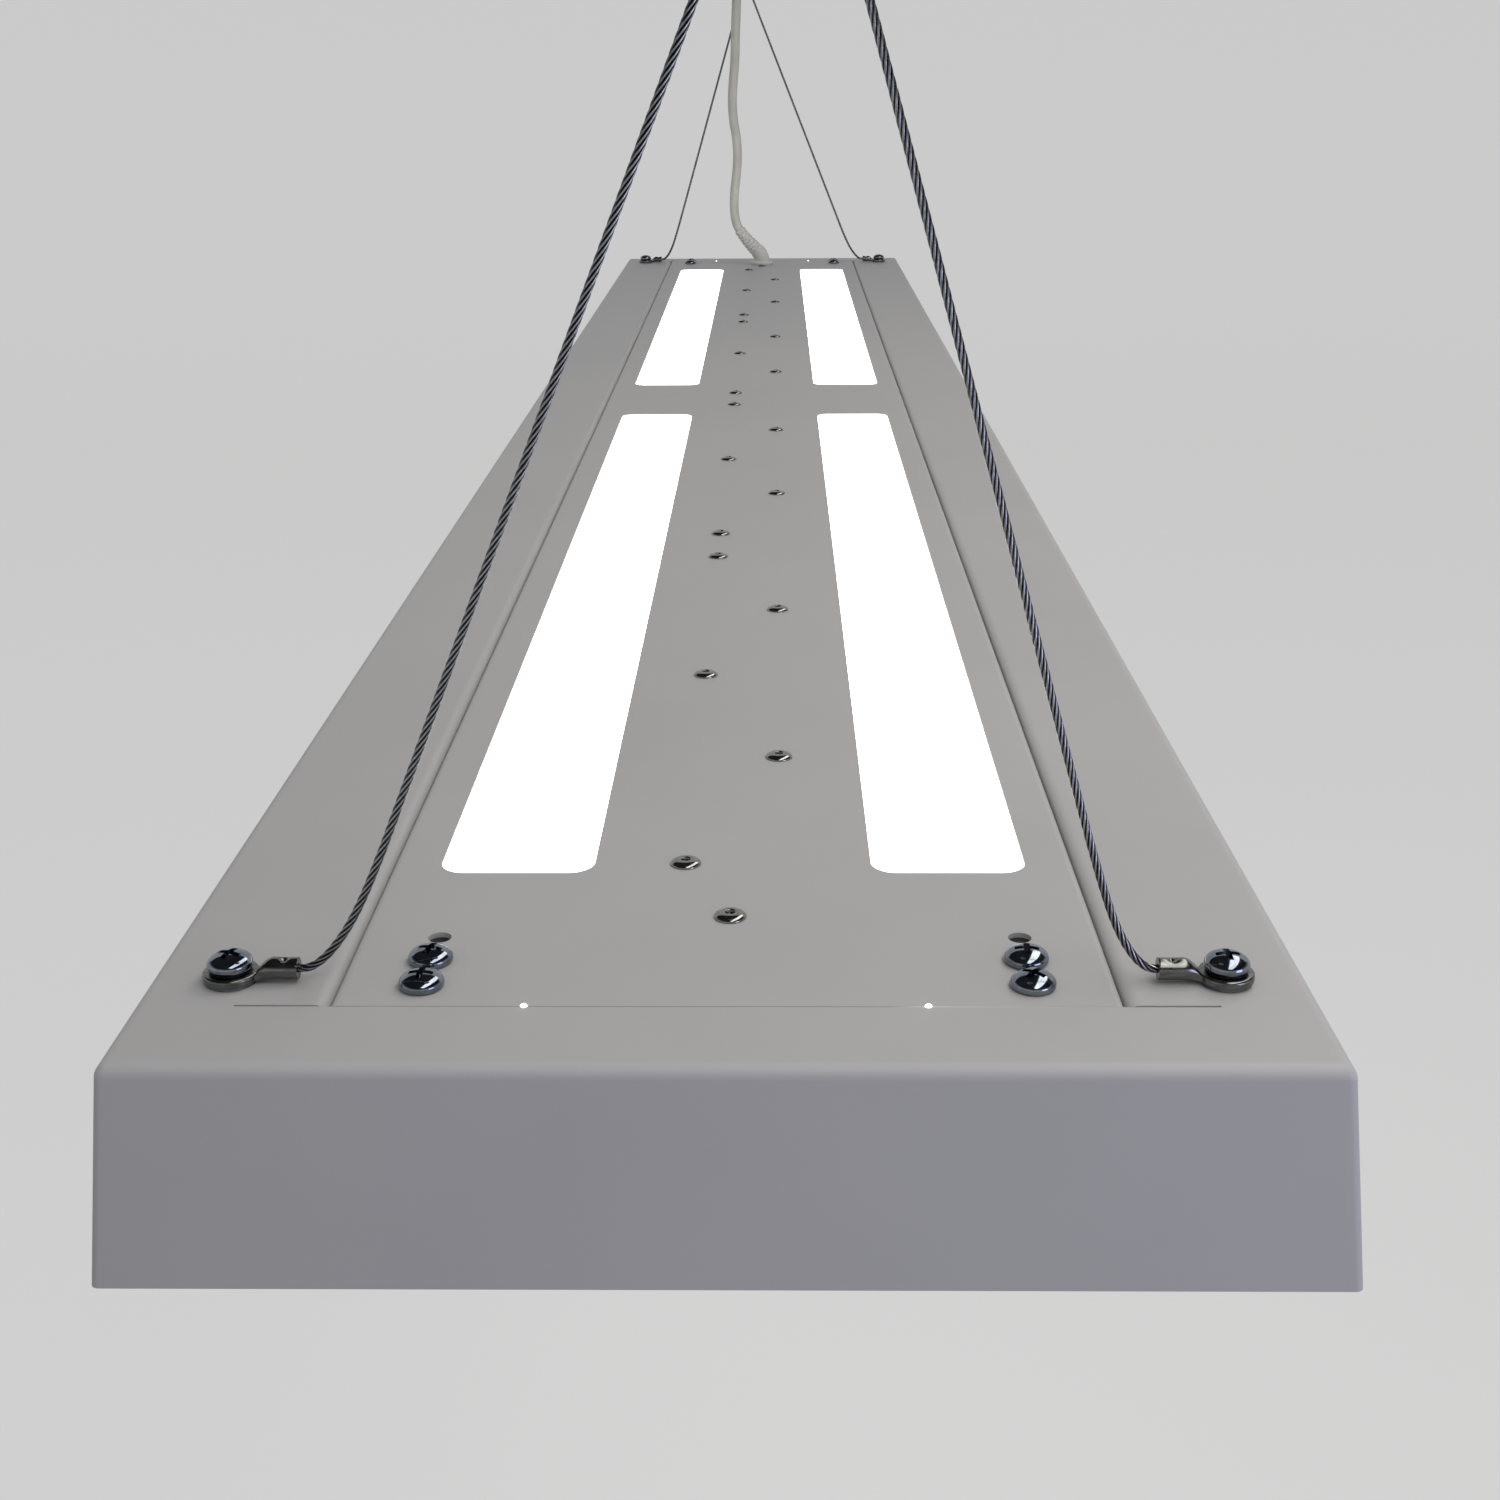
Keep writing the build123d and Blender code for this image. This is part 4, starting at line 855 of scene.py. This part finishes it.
def relief_sleeve(bm, foot):
    """Elbow from the flange to the cord's start, then a sleeve along the cord that tapers and has ribs."""
    cord_line = spline_points("relief_route", metres(CORD_ROUTE_MM), 24)
    start = cord_line[0]
    knee = Vector((0.0, foot.y, start.z + start.x))
    elbow = [knee.lerp(foot, 0.55)]
    for share in [i / 9 for i in range(1, 9)]:
        elbow.append((elbow[0].lerp(knee, share)).lerp(knee.lerp(start, share), share))
    line = even_points([foot] + elbow + cord_line, 0.3 * MM)
    reach, taper_from, ribs_from, rib = 31 * MM, 9 * MM, 11 * MM, 2.6 * MM
    ribs_to = reach - 2.2 * MM
    path, radii, total = [], [], 0.0
    for i, point in enumerate(line):
        total += (point - line[i - 1]).length if i else 0.0
        if total > reach:
            break
        share = min(max((total - taper_from) / (reach - taper_from), 0.0), 1.0)
        radius = (5.4 - 1.5 * share) * MM
        if ribs_from < total < ribs_to:
            groove = 0.5 - 0.5 * math.cos(2 * math.pi * (total - ribs_from) / rib)
            radius -= 0.55 * MM * groove ** 3
        path.append(point)
        radii.append(radius)
    # The sleeve's lip is rounded
    radii[-1] -= 0.35 * MM
    radii[-2] -= 0.1 * MM
    tube(bm, path, radii, 32)


def relief_flange(bm, foot, low):
    """Round flange on the panel, with a stem down through it."""
    stem = [(0.0, low), (5.1 * MM, low), (5.5 * MM, low + 0.4 * MM), (5.5 * MM, TOP_Z)]
    # Radius and height above the panel of each corner of the flange, in millimetres
    flange, edge, rounding = 8.0, 1.5, 1.0
    rim = [(flange - 0.2, 0.0), (flange, 0.3), (flange, edge)]
    rim += [(flange - rounding * (1 - c), edge + rounding * s) for c, s in quarter(5)]
    rim += [(6.2, 2.6), (5.5, 3.1), (0.0, 3.2)]
    lathe(bm, stem + [(radius * MM, TOP_Z + height * MM) for radius, height in rim], 40, (foot.x, foot.y))


class PENDANT_OT_pan_screws(bpy.types.Operator):
    """Set the pan head screws of the brackets and of the hangers"""

    bl_idname = "pendant.pan_screws"
    bl_label = "Pan Head Screws"

    def execute(self, context):
        sizes = context.scene.pendant_fasteners
        finish = new_finish(steel_zinc_plated_bright)
        for name, seed in (("bracket_screws", 3), ("hanger_screws", 8)):
            low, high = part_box(name)
            seat = high.z - sizes.head_height
            screw = pan_screw(sizes, seat - low.z)
            places = [Vector((p.x, p.y, seat)) for p in island_places(name)]
            headings = [0.4] * len(places)
            made = set_fasteners(name + "_bright", screw, places, headings, finish, sizes.turn, seed)
            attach(made, "lamp")
            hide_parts(name)
        for name in ("hanger_washers", "hanger_plates", "hanger_nuts", "driver_screws"):
            finish_node(name, finish)
        return {"FINISHED"}


def pan_screw(sizes, shank_length):
    """Pan head with a cross recess on a plain shank; its seat is at zero height."""
    radius, height, shank, tip = sizes.head_radius, sizes.head_height, 2.0 * MM, 0.4 * MM
    rim = 0.30 * height
    profile = [(0.0, -shank_length), (shank - tip, -shank_length), (shank, -shank_length + tip), (shank, 0.0)]
    profile += [(radius - 0.5 * MM, 0.0), (radius - 0.2 * MM, 0.1 * MM), (radius - 0.05 * MM, 0.3 * MM)]
    profile += [(radius, 0.55 * MM), (radius, rim)]
    profile += [(radius * c ** 0.95, rim + (height - rim) * s) for c, s in quarter(14)]
    bm = bmesh.new()
    lathe(bm, profile, 48)
    head = new_object("pan_head", mesh_from("pan_head", bm))
    arm, wide = sizes.recess_length / 2, sizes.recess_width / 2
    corner = [(arm, -wide), (arm, wide), (wide, wide)]
    cross = []
    for c, s in ((1, 0), (0, 1), (-1, 0), (0, -1)):
        cross += [(x * c - y * s, x * s + y * c) for x, y in corner]
    bm = bmesh.new()
    floor = [bm.verts.new((x * 0.62, y * 0.7, height - 1.6 * MM)) for x, y in cross]
    top = [bm.verts.new((x * 1.08, y * 1.08, height + 0.4 * MM)) for x, y in cross]
    skin_rings(bm, [floor, top])
    driver = new_object("cross_driver", mesh_from("cross_driver", bm, 20))
    cut = head.modifiers.new("recess", "BOOLEAN")
    cut.operation = "DIFFERENCE"
    cut.solver = "EXACT"
    cut.object = driver
    mesh = evaluated_mesh(head)
    bpy.data.objects.remove(head)
    bpy.data.objects.remove(driver)
    return smooth(mesh, 35)


class PENDANT_OT_lock_washers(bpy.types.Operator):
    """Lay the split lock washers between the ring terminals and the hanger screws' heads"""

    bl_idname = "pendant.lock_washers"
    bl_label = "Lock Washers"

    def execute(self, context):
        sizes = context.scene.pendant_fasteners
        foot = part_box("ring_terminals")[0].z + sizes.ring_thickness
        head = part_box("lock_washers")[1].z
        bm = bmesh.new()
        split_washer(bm, 3.7 * MM, SCREW_HOLE_MM * MM, head - foot)
        washer = mesh_from("lock_washer", bm, 30)
        # The dark washer finish is painted shade under the hanger screws' heads
        finish = new_finish(steel_spring_zinc_painted_shade)
        places = [Vector((p.x, p.y, foot)) for p in island_places("hanger_screws")]
        made = set_fasteners("lock_washers_split", washer, places, [2.0] * len(places), finish, 1.0, 12)
        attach(made, "lamp")
        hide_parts("lock_washers")
        return {"FINISHED"}


def split_washer(bm, outer, inner, thick):
    """One flattened turn of square spring wire, with a slanted cut between its ends."""
    soft, cut, lean, steps = 0.1 * MM, math.radians(7), math.radians(10), 48
    section = [
        (inner + soft, 0.0), (outer - soft, 0.0), (outer, soft), (outer, thick - soft),
        (outer - soft, thick), (inner + soft, thick), (inner, thick - soft), (inner, soft)]
    loops = []
    for i in range(steps + 1):
        loop = []
        for radius, height in section:
            slant = lean * (height / thick - 0.5)
            angle = cut / 2 + slant + (2 * math.pi - cut) * i / steps
            loop.append(bm.verts.new((radius * math.cos(angle), radius * math.sin(angle), height)))
        loops.append(loop)
    skin_rings(bm, loops)


class PENDANT_OT_blind_rivets(bpy.types.Operator):
    """Set the blind rivets along the centre panel"""

    bl_idname = "pendant.blind_rivets"
    bl_label = "Blind Rivets"

    def execute(self, context):
        bm = bmesh.new()
        blind_rivet(bm, context.scene.pendant_fasteners)
        rivet = mesh_from("blind_rivet", bm, 48)
        finish = new_finish(aluminium_rivet_upset_bare)
        places = [Vector((p.x, p.y, TOP_Z)) for p in island_places("rivets")]
        made = set_fasteners("rivets_set", rivet, places, [0.0] * len(places), finish, math.pi, 5)
        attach(made, "lamp")
        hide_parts("rivets")
        return {"FINISHED"}


def blind_rivet(bm, sizes):
    """Set rivet: upset end and shank below the panel, and a dome with the mandrel's hole."""
    radius, dome, hole, edge = sizes.rivet_radius, sizes.rivet_dome, sizes.mandrel_radius, 0.1 * MM
    below_mm = [(0.0, -4.0), (2.0, -4.0), (2.4, -3.6), (2.4, -2.8), (1.6, -2.4), (1.6, 0.0)]
    profile = [(r * MM, z * MM) for r, z in below_mm] + [(radius - edge, 0.0), (radius, edge)]
    wide = hole + 0.12 * MM
    profile += [(wide + (radius - wide) * c ** 0.85, edge + (dome - edge) * s) for c, s in quarter(9)]
    profile += [(hole, dome - 0.12 * MM), (hole - 0.06 * MM, dome - 0.62 * MM)]
    profile += [(hole - 0.22 * MM, dome - 0.66 * MM), (hole * 0.5, dome - 0.5 * MM), (0.0, dome - 0.46 * MM)]
    lathe(bm, profile, 32)


class PENDANT_OT_ring_terminals(bpy.types.Operator):
    """Stamp and crimp the ring terminals under the hanger screws"""

    bl_idname = "pendant.ring_terminals"
    bl_label = "Ring Terminals"

    def execute(self, context):
        sizes = context.scene.pendant_fasteners
        bm = bmesh.new()
        ring_plate(bm, sizes.ring_radius, SCREW_HOLE_MM * MM, sizes.ring_thickness)
        crimped_barrel(bm, sizes.barrel_radius)
        terminal = mesh_from("ring_terminal", bm, 50)
        finish = new_finish(copper_tinned_stamped)
        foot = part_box("ring_terminals")[0].z
        places = [Vector((p.x, p.y, foot)) for p in island_places("hanger_screws")]
        headings = [0.0 if p.x > 0 else math.pi for p in places]
        made = set_fasteners("ring_terminals_crimped", terminal, places, headings, finish, 0.0, 1)
        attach(made, "lamp")
        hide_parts("ring_terminals")
        return {"FINISHED"}


def ring_plate(bm, outer, inner, thick):
    """Flat ring with edges rounded by the stamping."""
    soft = 0.45 * MM
    out, hole, low, high = outer - soft, inner + soft, soft, thick - soft
    outline = []
    for corner_r, corner_z, first in ((out, high, 0), (hole, high, 90), (hole, low, 180), (out, low, 270)):
        for i in range(4):
            angle = math.radians(first + 30 * i)
            outline.append((corner_r + soft * math.cos(angle), corner_z + soft * math.sin(angle)))
    rings = lathe(bm, outline, 44)
    bridge(bm, rings[-1], rings[0])


def crimped_barrel(bm, radius):
    """Neck and barrel of a terminal along -X: flat at the ring, then a tube with a crimp's dimple."""
    # Place along X, half width, top and squareness of each section of the neck, in millimetres
    sections = [
        (-3.2, 2.6, 1.05, 6.0), (-4.2, 2.1, 1.15, 6.0), (-4.7, 1.8, 1.7, 5.0), (-5.2, 1.65, 2.35, 4.0),
        (-5.8, 1.7, 2.95, 3.2), (-6.4, 1.85, 3.5, 2.6), (-7.0, 1.95, 3.85, 2.2), (-7.5, 2.0, 4.0, 2.05)]
    sections += [(-8.0 - 0.2 * i, 2.0, 4.0, 2.0) for i in range(20)] + [(-12.0, 1.96, 3.97, 2.0)]
    dimple_x, seam_y, seam_from = -9.6, 0.9, -7.2
    sides, scale = 48, radius / 2
    loops = []
    for x, half, top, square in sections:
        loop = []
        for c, s in circle(sides):
            y = half * math.copysign(abs(c) ** (2 / square), c)
            z = top / 2 + (top / 2 - 0.03) * math.copysign(abs(s) ** (2 / square), s)
            if s > 0:
                dimple = 0.75 * math.exp(-((x - dimple_x) ** 2 + y ** 2) / 0.5)
                seam = 0.12 * math.exp(-((y - seam_y) / 0.16) ** 2) if x < seam_from else 0.0
                z -= dimple + seam
            loop.append(bm.verts.new((x * MM, y * scale, z * scale)))
        loops.append(loop)
    # The bore that the rope goes into, from the barrel's mouth inwards
    for x, bore in ((-12.0, 0.86), (-11.6, 0.8), (-10.2, 0.8)):
        wide = bore * MM
        loops.append([bm.verts.new((x * MM, wide * c, radius + wide * s)) for c, s in circle(sides)])
    skin_rings(bm, loops)


class PENDANT_OT_seam_glow(bpy.types.Operator):
    """Show the light that leaks out of the notches in the panel's end seams"""

    bl_idname = "pendant.seam_glow"
    bl_label = "Light in the Seams"

    def execute(self, context):
        light = context.scene.pendant_light
        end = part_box("centre_panel")[1].y
        foot, wide, dome, sunk = TOP_Z - 0.3 * MM, 0.62 * MM, 0.5 * MM, 0.1 * MM
        profile = [(0.0, foot)] + [(wide * c, TOP_Z + dome * s - sunk) for c, s in quarter(6, first=0)]
        bm = bmesh.new()
        for y_sign in (-1, 1):
            for x_sign in (-1, 1):
                lathe(bm, profile, 20, (x_sign * NOTCH_X_MM * MM, y_sign * (end - 0.1 * MM)))
        points = len(bm.faces)
        left, right, near, far = -SEAM_HALF_MM, SEAM_HALF_MM, 0.02, 0.18
        outline = ((left, near), (right, near), (right, far), (left, far))
        skin_rings(bm, [
            [bm.verts.new((x * MM, -end - y * MM, z)) for x, y in outline]
            for z in (foot, TOP_Z - 0.03 * MM)])
        glow = new_object("seam_light", mesh_from("seam_light", bm, 30))
        glow.data.materials.append(new_finish(light_in_notch, light.lens_colour, light.lens_strength))
        glow.data.materials.append(new_finish(light_in_seam))
        for face in glow.data.polygons:
            face.material_index = int(face.index >= points)
        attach(glow, "lamp")
        return {"FINISHED"}


class PENDANT_OT_finishes(bpy.types.Operator):
    """Give the CAD pieces that stay their finishes"""

    bl_idname = "pendant.finishes"
    bl_label = "Finishes of the CAD Pieces"

    def execute(self, context):
        paint, light = context.scene.pendant_paint, context.scene.pendant_light
        groups = [
            (new_finish(powder_coat_satin_baked, paint.coat),
             ["tray", "centre_panel", "near_disc", "far_disc"]),
            (new_finish(opal_acrylic_extruded_lit, light.lens_colour, light.lens_strength),
             ["near_left_lens", "near_right_lens", "far_left_lens", "far_right_lens"]),
            (new_finish(opal_sheet_pressed_lit, light.diffuser_strength), ["bottom_diffuser"]),
            (new_finish(steel_sheet_galvanised_painted_shade), ["near_bracket", "far_bracket"]),
            (new_finish(stove_enamel_white), ["left_pan", "right_pan"]),
            (new_finish(glass_epoxy_white_mask), ["up_boards", "down_boards"]),
            (new_finish(silicone_phosphor_moulded), ["up_leds", "down_leds"]),
            (new_finish(aluminium_extruded_anodised), ["left_driver", "right_driver"]),
            (new_finish(pvc_insulation_extruded, paint.sheath), ["supply_wires", "driver_leads"]),
            (new_finish(steel_turned_satin_nickel),
             ["near_fork", "far_fork", "near_cross", "far_cross", "near_yoke", "far_yoke"]),
        ]
        for material, names in groups:
            for name in names:
                finish_node(name, material)
        return {"FINISHED"}


class PENDANT_OT_stage(bpy.types.Operator):
    """Lay the pale floor with its backdrop and set the soft studio lamps"""

    bl_idname = "pendant.stage"
    bl_label = "Stage"

    def execute(self, context):
        stage = context.scene.pendant_stage
        floor = new_object("floor", floor_mesh(-stage.floor_drop))
        paint = new_finish(studio_floor_rolled_paint, stage.floor_colour, stage.floor_lift)
        floor.data.materials.append(paint)
        # Name, place, aim, width and height, power and colour of each lamp
        lamps = [
            ("soft_box", (0.34, -0.55, 0.48), (0.1, -0.5, TOP_Z), (1.8, 0.3), stage.key_power, "#fffaf4"),
            ("cool_panel", (0.5, -0.95, -0.22), (0.0, -0.6, TOP_Z), (0.3, 0.3), stage.fill_power, "#c9caff"),
            ("back_panel", (-0.55, 1.25, -0.12), (0.0, 0.55, TOP_Z), (0.6, 0.4), stage.back_power, "#ffffff"),
        ]
        for name, place, aim, size, power, colour in lamps:
            data = bpy.data.lights.new(name, "AREA")
            data.shape = "RECTANGLE"
            data.size, data.size_y = size
            data.energy = power
            data.color = linear(colour)[:3]
            lamp = new_object(name, data)
            lamp.location = place
            lamp.rotation_euler = (Vector(aim) - Vector(place)).to_track_quat("-Z", "Y").to_euler()
            lamp.visible_camera = False
            lamp.visible_glossy = name != "back_panel"
        context.scene.world = even_light(stage.sky)
        context.scene.view_settings.view_transform = "Standard"
        return {"FINISHED"}


def floor_mesh(floor_z):
    """Flat floor that curves up to a wall behind the object."""
    front, wall, top, half_width, bend = -9.0, 7.5, 7.0, 12.0, 2.5
    outline = [(front, floor_z)]
    outline += [(wall - bend + bend * s, floor_z + bend * (1 - c)) for c, s in quarter(12, first=0)]
    outline.append((wall, top))
    bm = bmesh.new()
    rows = [[bm.verts.new((x, y, z)) for x in (-half_width, half_width)] for y, z in outline]
    for low, high in zip(rows, rows[1:]):
        bm.faces.new((low[0], low[1], high[1], high[0]))
    mesh = bpy.data.meshes.new("floor")
    bm.to_mesh(mesh)
    bm.free()
    return smooth(mesh)


def even_light(strength):
    """World that lights the object evenly from all round."""
    world = bpy.data.worlds.new("even_light")
    world.use_nodes = True
    tree = world.node_tree
    tree.nodes.clear()
    sky = node(tree, "ShaderNodeBackground", {"Color": linear("#e2e2ec"), "Strength": strength})["Background"]
    # The world is seen as pale as the floor, which hides the floor's edge; metal shows it darker overhead
    way = node(tree, "ShaderNodeTexCoord")["Object"]
    height = node(tree, PARTS, {"Vector": way})["Z"]
    mirrored = node(tree, "ShaderNodeLightPath")["Is Glossy Ray"]
    dimmed = node(tree, MATH, {0: height, 1: mirrored}, operation="MULTIPLY")[0]
    pale = node(tree, RAMP, {"Fac": dimmed}, [(0.1, "#cdcdcd"), (0.45, "#2e2e30")])["Color"]
    backdrop = node(tree, "ShaderNodeBackground", {"Color": pale, "Strength": 1.0})["Background"]
    both = node(tree, "ShaderNodeMixShader", {"Fac": seen_ray(tree), 1: sky, 2: backdrop})["Shader"]
    node(tree, "ShaderNodeOutputWorld", {"Surface": both})
    return world


class PENDANT_PT_panel(bpy.types.Panel):
    """Sidebar panel with the light's sizes, colours and steps"""

    bl_idname = "PENDANT_PT_panel"
    bl_label = "LED Pendant Light"
    bl_space_type = "VIEW_3D"
    bl_region_type = "UI"
    bl_category = "Pendant"

    def draw(self, context):
        for group, setting in SETTINGS.items():
            box = self.layout.box()
            box.label(text=group.__doc__)
            for name in group.__annotations__:
                box.prop(getattr(context.scene, setting), name)
        for step in STEPS:
            self.layout.operator(step.bl_idname)


SETTINGS = {
    PendantPaint: "pendant_paint",
    PendantLight: "pendant_light",
    PendantFasteners: "pendant_fasteners",
    PendantRope: "pendant_rope",
    PendantStage: "pendant_stage",
}

STEPS = (
    PENDANT_OT_camera,
    PENDANT_OT_supply_cord,
    PENDANT_OT_wire_ropes,
    PENDANT_OT_strain_relief,
    PENDANT_OT_pan_screws,
    PENDANT_OT_lock_washers,
    PENDANT_OT_blind_rivets,
    PENDANT_OT_ring_terminals,
    PENDANT_OT_seam_glow,
    PENDANT_OT_finishes,
    PENDANT_OT_stage,
)


def register():
    """Register the settings, steps and panel, and hang the settings on the scene."""
    for group, name in SETTINGS.items():
        bpy.utils.register_class(group)
        setattr(bpy.types.Scene, name, bpy.props.PointerProperty(type=group))
    for step in STEPS:
        bpy.utils.register_class(step)
    bpy.utils.register_class(PENDANT_PT_panel)


def unregister():
    """Take everything off again, in the opposite order."""
    bpy.utils.unregister_class(PENDANT_PT_panel)
    for step in reversed(STEPS):
        bpy.utils.unregister_class(step)
    for group, name in reversed(SETTINGS.items()):
        delattr(bpy.types.Scene, name)
        bpy.utils.unregister_class(group)


def main():
    """Build the light step by step and keep its sizes."""
    register()
    bpy.ops.pendant.camera()
    bpy.ops.pendant.supply_cord()
    bpy.ops.pendant.wire_ropes()
    bpy.ops.pendant.strain_relief()
    bpy.ops.pendant.pan_screws()
    bpy.ops.pendant.lock_washers()
    bpy.ops.pendant.blind_rivets()
    bpy.ops.pendant.ring_terminals()
    bpy.ops.pendant.seam_glow()
    bpy.ops.pendant.finishes()
    bpy.ops.pendant.stage()


if __name__ == "__main__":
    main()
